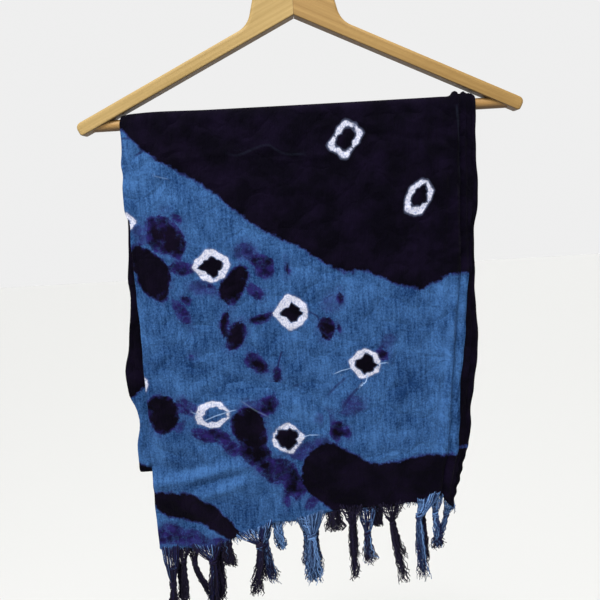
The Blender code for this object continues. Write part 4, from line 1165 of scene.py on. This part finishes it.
# %% The gather above a knot
PLY_LEVEL = {"a1": 1.5, "b1": 0.5, "b2": -0.5, "a2": -1.5}
YARNS = 54  # in the gather and the skirt of a knot about 4 mm in half width
YARN_RADIUS = 0.44
STRANDS = 4.5  # half the number of strands that a gather runs together in
LEAST_NECK = 3.0  # a bunch isn't drawn in further than to a knot of this half width


def hem_points(ply, x):
    """Places on the ply's hem."""
    x = np.asarray(x, float)
    share = np.zeros_like(x)
    return lay("front", share, x, PLY_LEVEL[ply] * HEM_PITCH + share, share + (ply == "a1"))


def ripple(dice, height, waves, along, count):
    """height * sin(waves * along + phase), with a chance phase for each of the yarns."""
    return height * np.sin(waves * along + dice.uniform(0, 6, (count, 1)))


def gathered(ply, tassel, dice):
    """Yarns from the hem into the knot: even along the hem, closing in as t to the 1.4.

    On the way they run together in a few strands, with gaps between them.
    """
    count = int(YARNS * min(1.0, 0.27 * tassel["knot"] - 0.2))
    place = np.linspace(-1.0, 1.0, count) + dice.uniform(-0.03, 0.03, count)
    strand = np.round(place * STRANDS + dice.normal(0, 0.35, count)) / STRANDS
    start = hem_points(ply, tassel["x"] + tassel["pull"] + tassel["fan"] * place)
    start[:, 2] += dice.uniform(2.5, 6.0, count)
    tight = max(tassel["knot"], LEAST_NECK) * 0.62
    goal_x = tassel["x"] + tight * place + dice.normal(0, 0.3, count)
    goal_y = tassel["y"] + dice.uniform(-1.3, 1.3, count)
    goal_z = 0 * place - hem_depth(tassel["x"]) - tassel["gather"] - 1.5
    goal = np.stack([goal_x, goal_y, goal_z], 1)
    t = np.linspace(0.0, 1.0, 10)[None]
    path = start[:, None] * (1 - t[..., None]) + goal[:, None] * t[..., None]
    path[..., 0] += (goal[:, None, 0] - start[:, None, 0]) * (t**1.4 - t) * 0.9
    sag = np.sin(math.pi * t)
    drawn = min(0.55, 9.0 / tassel["gather"]) * tassel["fan"]
    path[..., 0] += sag * (strand - place)[:, None] * drawn * (1 - t)
    path[..., 0] += sag * dice.normal(0, 0.5, (count, 1)) + ripple(dice, 0.4 * sag, 14, t, count)
    path[..., 1] += sag * dice.normal(0, 0.4, (count, 1))
    return path


def crossing(ply, tassel, dice):
    """Threads of the weft left in the gather: they cross it and sag, shorter towards the knot."""
    count = 9
    t = np.sort(dice.uniform(0.02, 0.72, count))[:, None]
    s = np.linspace(-1.0, 1.0, 12)[None]
    start = tassel["x"] + tassel["pull"]
    _, hem_y, hem_z = hem_points(ply, [start])[0]
    reach = (tassel["fan"] * (1 - t) + 2.5 * t) * dice.uniform(0.75, 1.05, (count, 1))
    x = start - tassel["pull"] * t + reach * s + ripple(dice, 0.6, 5, s, count)
    y = hem_y * (1 - t) + tassel["y"] * t - 0.5 + ripple(dice, 0.5, 9, s, count)
    z = hem_z + 0.2 - (tassel["gather"] + 1.0) * t + 2.4 * s**2 * (1 - t)
    return np.stack([x, y, z + ripple(dice, 0.5, 7, s, count)], -1)


hem_heights = [round(float(hem_points(ply, [0.0])[0, 2]), 1) for ply in PLY_LEVEL]
print("hems of the four plies, mm above the bar:", *hem_heights)

# %% The knot and the skirt
KNOT_HALF = 2.9  # half the knot's height, and the half height of the oval that rounds it
KNOT_ROUND = 4.2
KNOT_DEEP = 2.3  # half its depth from front to back
LOCKS = 6  # locks in the skirt below the knot


def wrapped(tassel, dice):
    """The knot: turns of yarn round the bunch, ellipses that tilt one way and then the other.

    Each turn overlaps its own start, and the turns at the ends of the knot are smaller.
    """
    turns = 9
    phase = np.linspace(0, 2 * math.pi * 1.06, 16)[None] + dice.uniform(0, 6, (turns, 1))
    lift = np.linspace(-KNOT_HALF, KNOT_HALF, turns)[:, None]
    full = np.sqrt(1 - (lift / KNOT_ROUND) ** 2) * (1 + 0.05 * dice.normal(0, 1, (turns, 1)))
    tilt = 1.5 * np.where(np.arange(turns) % 3 == 0, -1.0, 1.0)[:, None]
    x = tassel["x"] + tassel["knot"] * full * np.cos(phase)
    y = tassel["y"] + KNOT_DEEP * full * np.sin(phase)
    return np.stack([x, y, tassel["knot_z"] + lift + tilt * np.cos(phase + 0.4)], -1)


def hanging(tassel, dice):
    """Loose yarns under the knot: they spread as t, lean as t to the 1.5 and curl at the tips.

    They hang in a few locks of their own, so the skirt is ragged and shows gaps.
    """
    count = int(YARNS * (0.35 + 0.2 * max(tassel["knot"], 2.0)))
    angle, out = dice.uniform(0, 2 * math.pi, count), np.sqrt(dice.uniform(0.0, 1.0, count))
    across, deep = out * np.cos(angle), (out * np.sin(angle))[:, None]
    t = np.linspace(0.0, 1.0, 17)[None]
    length = tassel["skirt"] * dice.uniform(0.8, 1.03, (count, 1))
    swing, crimp = dice.uniform(0, 6, (2, count, 1))
    lock = dice.integers(0, LOCKS, count)
    bend, phase = (dice.uniform(low, high, (LOCKS, 1))[lock] for low, high in ((0.4, 1.3), (0, 6)))
    across = across + 0.68 * (np.linspace(-0.9, 0.9, LOCKS)[lock] - across)
    neck = max(tassel["knot"], LEAST_NECK) * 0.75
    half = neck + (1.15 * tassel["spread"] - neck) * t**0.7
    curl = (0.6 + 2.0 * t**1.6) * t
    x = tassel["x"] + across[:, None] * half + tassel["lean"] * t**1.5
    x = x + 1.6 * bend * t * np.sin(phase + 5.5 * t) + 0.8 * np.sin(crimp + length * t * 0.8)
    x = x + curl * np.sin(swing + t * dice.uniform(9, 22, (count, 1)))
    y = tassel["y"] + deep * (1.4 + 2.0 * t)
    y = y + 0.7 * curl * np.cos(swing + t * dice.uniform(4, 13, (count, 1)))
    return np.stack([x, y, tassel["knot_z"] + 1.0 - length * t], -1)


print("a knot is", 2 * KNOT_HALF, "mm high and", 2 * KNOT_DEEP, "mm deep")

# %% Frayed ends between the tassels
FRAYED_ENDS = 190


def frayed(ply, dice):
    """Short loose ends between the tassels, with the tone of the nearest tassels."""
    places = np.array([row[0] for row in TASSELS[ply]], float)
    tones = [row[TASSEL_COLUMNS.index("tone")] for row in TASSELS[ply]]
    x = dice.uniform(places[0] - 9.0, places[-1] + 9.0, FRAYED_ENDS)
    t = np.linspace(0.0, 1.0, 5)[None]
    start = hem_points(ply, x)
    each = (FRAYED_ENDS, 1)
    length = dice.uniform(2.5, 9.0, each) * dice.uniform(0.3, 1.0, each) + 2.5
    lean = dice.normal(0, 0.3, each) * length
    path_x = start[:, :1] + lean * t**1.5 + 0.6 * t * np.sin(6 * t + x[:, None])
    path = np.stack([path_x, start[:, 1:2] + 0 * t, start[:, 2:] + 2.5 - length * t], -1)
    return path, np.interp(x, places, tones)[:, None]


# %% Grow the four fringes
LAYER_MIDDLE = -8.6  # the knots hang in four layers about this y
LAYER_PITCH = 5.0
KNOT_YARN = 1.4  # thickness of the wrapping, times a plain yarn's
LOOSE_YARN = 0.8
WEFT_YARN = 0.9


def bunches_of(ply, dice):
    """For each bunch on the hem: its yarns' centre lines, tones at both ends, and thickness."""
    loose, loose_tone = frayed(ply, dice)
    bunches = [(loose, loose_tone, loose_tone, LOOSE_YARN)]
    for row in TASSELS[ply]:
        tassel = dict(zip(TASSEL_COLUMNS, row))
        hem = hem_points(ply, [tassel["x"]])[0]
        relief = -hem[1] - DROP_MIDDLE - PLY_LEVEL[ply] * HEM_PITCH
        tassel["y"] = LAYER_MIDDLE - relief - PLY_LEVEL[ply] * LAYER_PITCH
        tassel["knot_z"] = hem[2] - tassel["gather"]
        tone, tip = tassel["tone"], tassel["tip_tone"]
        half = (tone + tip) / 2
        if tassel["knot"]:
            bunches += [
                (hanging(tassel, dice), half, tip, 1.0),
                (gathered(ply, tassel, dice), tone, half, 1.0),
                (crossing(ply, tassel, dice), tone, tone, WEFT_YARN),
                (wrapped(tassel, dice), half, half, KNOT_YARN),
            ]
        else:
            tassel |= {"knot": tassel["fan"] * 1.5, "knot_z": hem[2] + 4.0, "y": hem[1]}
            tassel["skirt"] += tassel["gather"]
            bunches.append((hanging(tassel, dice), tone, tip, 1.0))
    return bunches


def grow_fringe(ply, seed):
    """All bunches of one hem as one joined mesh, with each yarn's tone and shade painted on."""
    dice = np.random.default_rng(seed)
    points, walls, ends, tones, shades = [], [], [], [], []
    offset = 0
    for path, tone, tip, thickness in bunches_of(ply, dice):
        yarns, stations = path.shape[:2]
        taper = np.linspace(1.0, 0.75, stations)[None] * dice.uniform(0.75, 1.2, (yarns, 1))
        tube, wall, end = tubes(path, YARN_RADIUS * thickness * taper)
        points.append(tube)
        walls.append(wall + offset)
        ends.append(end + offset)
        offset += len(tube)
        share = np.linspace(0.0, 1.0, stations)[None] ** 1.3
        mottle = dice.normal(0, 0.16, (yarns, 1))
        shade = dice.uniform(0, 1, (yarns, 1)) + 0 * share
        tones.append(np.repeat((tone + (tip - tone) * share + mottle).ravel(), TUBE_SIDES))
        shades.append(np.repeat(shade.ravel(), TUBE_SIDES))
    name = f"fringe_{ply}_yarns"
    piece = new_piece(name, np.concatenate(points), np.concatenate(walls), np.concatenate(ends))
    paint(piece, "tone", np.concatenate(tones))
    paint(piece, "shade", np.concatenate(shades))
    return piece


fringes = {ply: grow_fringe(ply, 11 + number) for number, ply in enumerate(TASSELS)}

# %% [markdown]
# ## The yarn's finish
#
# The yarns were dyed with the cloth, so a bunch can be blue at the hem and nearly black at its
# tip. Every yarn has its own shade, or the bunch would look cast in one lump.

# %% Dyed yarn
def yarn_material():
    """Blue to near-black by the painted tone, lighter or darker by each yarn's shade."""
    even = {"Roughness": 0.9, "Specular IOR Level": 0.1, **faint_sheen(0.015)}
    material, tree, shader = new_material("dyed_yarn", even)
    place = wire(tree, "TexCoord", "Object", {})
    shade = field(tree, "shade")
    tone = field(tree, "tone") + noise(place, 120.0, 2.0) * 0.5 - 0.25
    colour = mix(cut_off(tone, 0.25, 0.5), mix(shade**1.7, YARN_DEEP, YARN_PALE), VIOLET)
    colour = mix(cut_off(tone, 0.42, 0.68), colour, mix(shade, NIGHT, YARN_DARK))
    fuzz = noise(place, (3000.0, 3000.0, 1200.0), 2.0)
    plug(shader, {"Base Color": colour, "Normal": bumped(fuzz, 0.6, 0.0004)})
    return material


yarn = yarn_material()
for piece in fringes.values():
    piece.data.materials.append(yarn)
print("yarn has", len(yarn.node_tree.nodes), "nodes")

# %% [markdown]
# ## Wood and steel
#
# The hanger is pale pine under clear varnish: two arms cut along the grain and glued at the
# middle, with a turned bar. Grain is the cut through the tree's growth rings, so it is long bands
# in the direction of each arm, with finer dark flecks. The faces of the wood that look down are
# painted a darker brown, as painted shade. The hook is bright steel wire.

# %% Varnished pine and bright steel
FLECK_BROWN = srgb(128, 90, 48)
# The brown of the painted shade on the wood's lower faces.
UNDERSIDE_SHADE = srgb(64, 40, 17)


def pine_material(name, slope_deg, dark, pale):
    """Bands and flecks stretched along the arm, which falls by its slope, and painted shade below.
    """
    even = {"Roughness": 0.55, "Specular IOR Level": 0.3, "Coat Weight": 0.1, "Coat Roughness": 0.4}
    material, tree, shader = new_material(name, even)
    place = wire(tree, "TexCoord", "Object", {})
    turned = stretched(place, (1.0, 1.0, 1.0), (0.0, math.radians(slope_deg), 0.0))
    facing = part_of(wire(tree, "NewGeometry", "Normal", {}), "Z")
    drift = noise(turned, (5.0, 30.0, 40.0), 2.0)
    bands = noise(turned, (7.0, 160.0, 330.0))
    flecks = noise(turned, (60.0, 900.0, 1400.0), 3.0, 0.65)
    tone = bands * 0.55 + drift * 0.3 + flecks * 0.15
    colour = mix(cut_off(tone, 0.36, 0.62), dark, pale)
    colour = mix(cut_off(flecks, 0.6, 0.74) * 0.22, colour, FLECK_BROWN)
    # Painted shade: faces that look down are mixed towards a dark brown.
    colour = mix(cut_off(facing, -0.25, -0.8) * 0.85, colour, UNDERSIDE_SHADE)
    plug(shader, {"Base Color": colour, "Normal": bumped(flecks, 0.25, 0.0003)})
    return material


def steel_material():
    """Bright wire with faint draw marks in its roughness."""
    material, tree, shader = new_material("bright_steel_wire", {"Metallic": 1.0})
    marks = noise(wire(tree, "TexCoord", "Object", {}), 700.0)
    colour = mix(marks, srgb(190, 190, 192), srgb(222, 222, 222))
    plug(shader, {"Roughness": cut_off(marks, -0.6, 2.2), "Base Color": colour})
    return material


ARM_SLOPE = 24.9
FINISHES = {
    "hanger_arm_left": pine_material(
        "pine_left_arm", ARM_SLOPE, srgb(153, 126, 73), srgb(177, 149, 95)
    ),
    "hanger_arm_right": pine_material(
        "pine_right_arm", -ARM_SLOPE, srgb(140, 108, 58), srgb(167, 134, 79)
    ),
    "hanger_bar": pine_material("pine_bar", 0.0, srgb(150, 112, 62), srgb(172, 136, 82)),
    "hanger_hook": steel_material(),
}
for name, finish in FINISHES.items():
    for slot in bpy.data.objects[name].material_slots:
        slot.material = finish
print("finishes on", ", ".join(FINISHES))

# %% Glue in the seam between the arms
GLUE_HALF = 0.12
# Each plate: y from and to, z from and to.
GLUE_PLATES = (
    (-7.1, 7.1, 93.6, 109), (-7.1, -2.7, 109, 134.2), (2.7, 7.1, 109, 134.2),
)
BOX_FACES = np.array(
    ((0, 1, 3, 2), (4, 6, 7, 5), (0, 4, 5, 1), (2, 3, 7, 6), (0, 2, 6, 4), (1, 5, 7, 3))
)
corners, faces = [], []
for number, (*y_ends, z_from, z_to) in enumerate(GLUE_PLATES):
    box = np.meshgrid((-GLUE_HALF, GLUE_HALF), y_ends, (z_from, z_to), indexing="ij")
    corners.append(np.stack(box, -1).reshape(-1, 3))
    faces.append(BOX_FACES + 8 * number)
glue_line = new_piece("hanger_glue_line", np.concatenate(corners), np.concatenate(faces))
glue_line.data.shade_flat()
glue = pine_material("aged_glue", 0.0, srgb(92, 60, 28), srgb(122, 86, 46))
glue_line.data.materials.append(glue)
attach(glue_line, "root")

# %% [markdown]
# ## Putting each piece in place of its solid
#
# Each run of the cloth and each fringe is hung on the frame's root, and the plain solid that it
# stands for is hidden. Each run is half the stole's length, at its full width.

# %% Replace the plain solids
for piece, solid in ((outer_cloth, "stole_outer_run"), (inner_cloth, "stole_inner_run")):
    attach(piece, "root")
    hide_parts(solid)
for ply, piece in fringes.items():
    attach(piece, "root")
    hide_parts(f"fringe_{ply}")
print(2 + len(fringes), "plain solids replaced")

# %% [markdown]
# ## Floor, light and camera
#
# The hanger hangs well above a pale floor. A broad soft sun, high and in front, with a weaker one
# at the side and a weak even sky, gives soft shading that still shows the creases; a third sun
# lights the back, and a lamp above and in front brightens the upper part. The sky that is seen
# is brighter than the sky that lights the cloth, so that floor and sky are one pale ground. The
# camera stands a little below the bar, close in, and looks slightly down.

# %% Floor and sky
FLOOR_DEPTH = 1.55
FLOOR_HALF = 9
SKY_LIGHT = 0.27
SKY_SEEN = 0.9
SKY_WHITE = srgb(250, 250, 250)
floor_mesh = bpy.data.meshes.new("floor")
floor_places = [(x * FLOOR_HALF, y * FLOOR_HALF) for x, y in ((-1, -1), (1, -1), (1, 1), (-1, 1))]
floor_mesh.from_pydata([(x, y, -FLOOR_DEPTH) for x, y in floor_places], [], [(0, 1, 2, 3)])
floor = bpy.data.objects.new("floor", floor_mesh)
bpy.context.scene.collection.objects.link(floor)
pale, _, _ = new_material("pale_floor", {"Roughness": 0.9, "Base Color": srgb(229, 229, 227)})
floor_mesh.materials.append(pale)

world = bpy.data.worlds.new("pale_sky")
world.use_nodes = True
sky = world.node_tree
plug(sky.nodes["Background"], {"Color": SKY_WHITE, "Strength": SKY_LIGHT})
dim = Wire(sky, sky.nodes["Background"].outputs[0])
bright = wire(sky, "Background", 0, {"Color": SKY_WHITE, "Strength": SKY_SEEN})
seen = wire(sky, "LightPath", "Is Camera Ray", {})
both = wire(sky, "MixShader", 0, {0: seen, 1: dim, 2: bright})
plug(sky.nodes["World Output"], {"Surface": both})
bpy.context.scene.world = world
bpy.context.scene.view_settings.view_transform = "Standard"
print("the floor lies", FLOOR_DEPTH, "m below the hook")


# %% Lamps
def set_lamp(lamp, energy, place, turn):
    """Puts a lamp in the scene: it shines down its own z after its turn."""
    lamp.energy = energy
    held = bpy.data.objects.new(lamp.name, lamp)
    held.location, held.rotation_euler = place, turn
    bpy.context.scene.collection.objects.link(held)
    print(f"{lamp.name}: energy {energy}")


def soft_sun(name, direction, strength, width_deg):
    """A sun that shines from the given direction; its width makes its shadows soft."""
    lamp = bpy.data.lights.new(name, "SUN")
    lamp.angle = math.radians(width_deg)
    steep = math.acos(direction[2] / np.linalg.norm(direction))
    set_lamp(lamp, strength, (0, 0, 0), (steep, 0.0, math.atan2(direction[0], -direction[1])))


soft_sun("high_sun", (-0.15, -0.55, 1.0), 2.6, 20.0)
soft_sun("side_sun", (-1.0, -0.5, 0.25), 0.4, 40.0)
soft_sun("back_sun", (0.3, 1.0, 0.45), 0.8, 50.0)
ceiling_lamp = bpy.data.lights.new("ceiling_lamp", "AREA")
ceiling_lamp.size = 0.6
set_lamp(ceiling_lamp, 9.0, (-0.1, -0.55, 0.6), (math.radians(32.0), 0.0, 0.0))

# %% Camera
CAMERA_PLACE = (-0.00345, -0.6229, -0.2852)
TILT = math.radians(3.314)
PITCH = math.radians(10.283)
right = np.array((math.cos(TILT), 0.0, -math.sin(TILT)))
forward = np.array(
    (-math.sin(PITCH) * math.sin(TILT), math.cos(PITCH), -math.sin(PITCH) * math.cos(TILT))
)
camera = bpy.data.objects.new("camera", bpy.data.cameras.new("camera"))
camera.data.lens = camera.data.sensor_width = 36.0
bpy.context.scene.collection.objects.link(camera)
axes = np.array([right, np.cross(right, forward), -forward, CAMERA_PLACE]).T
camera.matrix_world = Matrix([*axes.tolist(), (0.0, 0.0, 0.0, 1.0)])
bpy.context.scene.camera = camera
print("the camera stands", round(-CAMERA_PLACE[1], 2), "m in front of the bar")
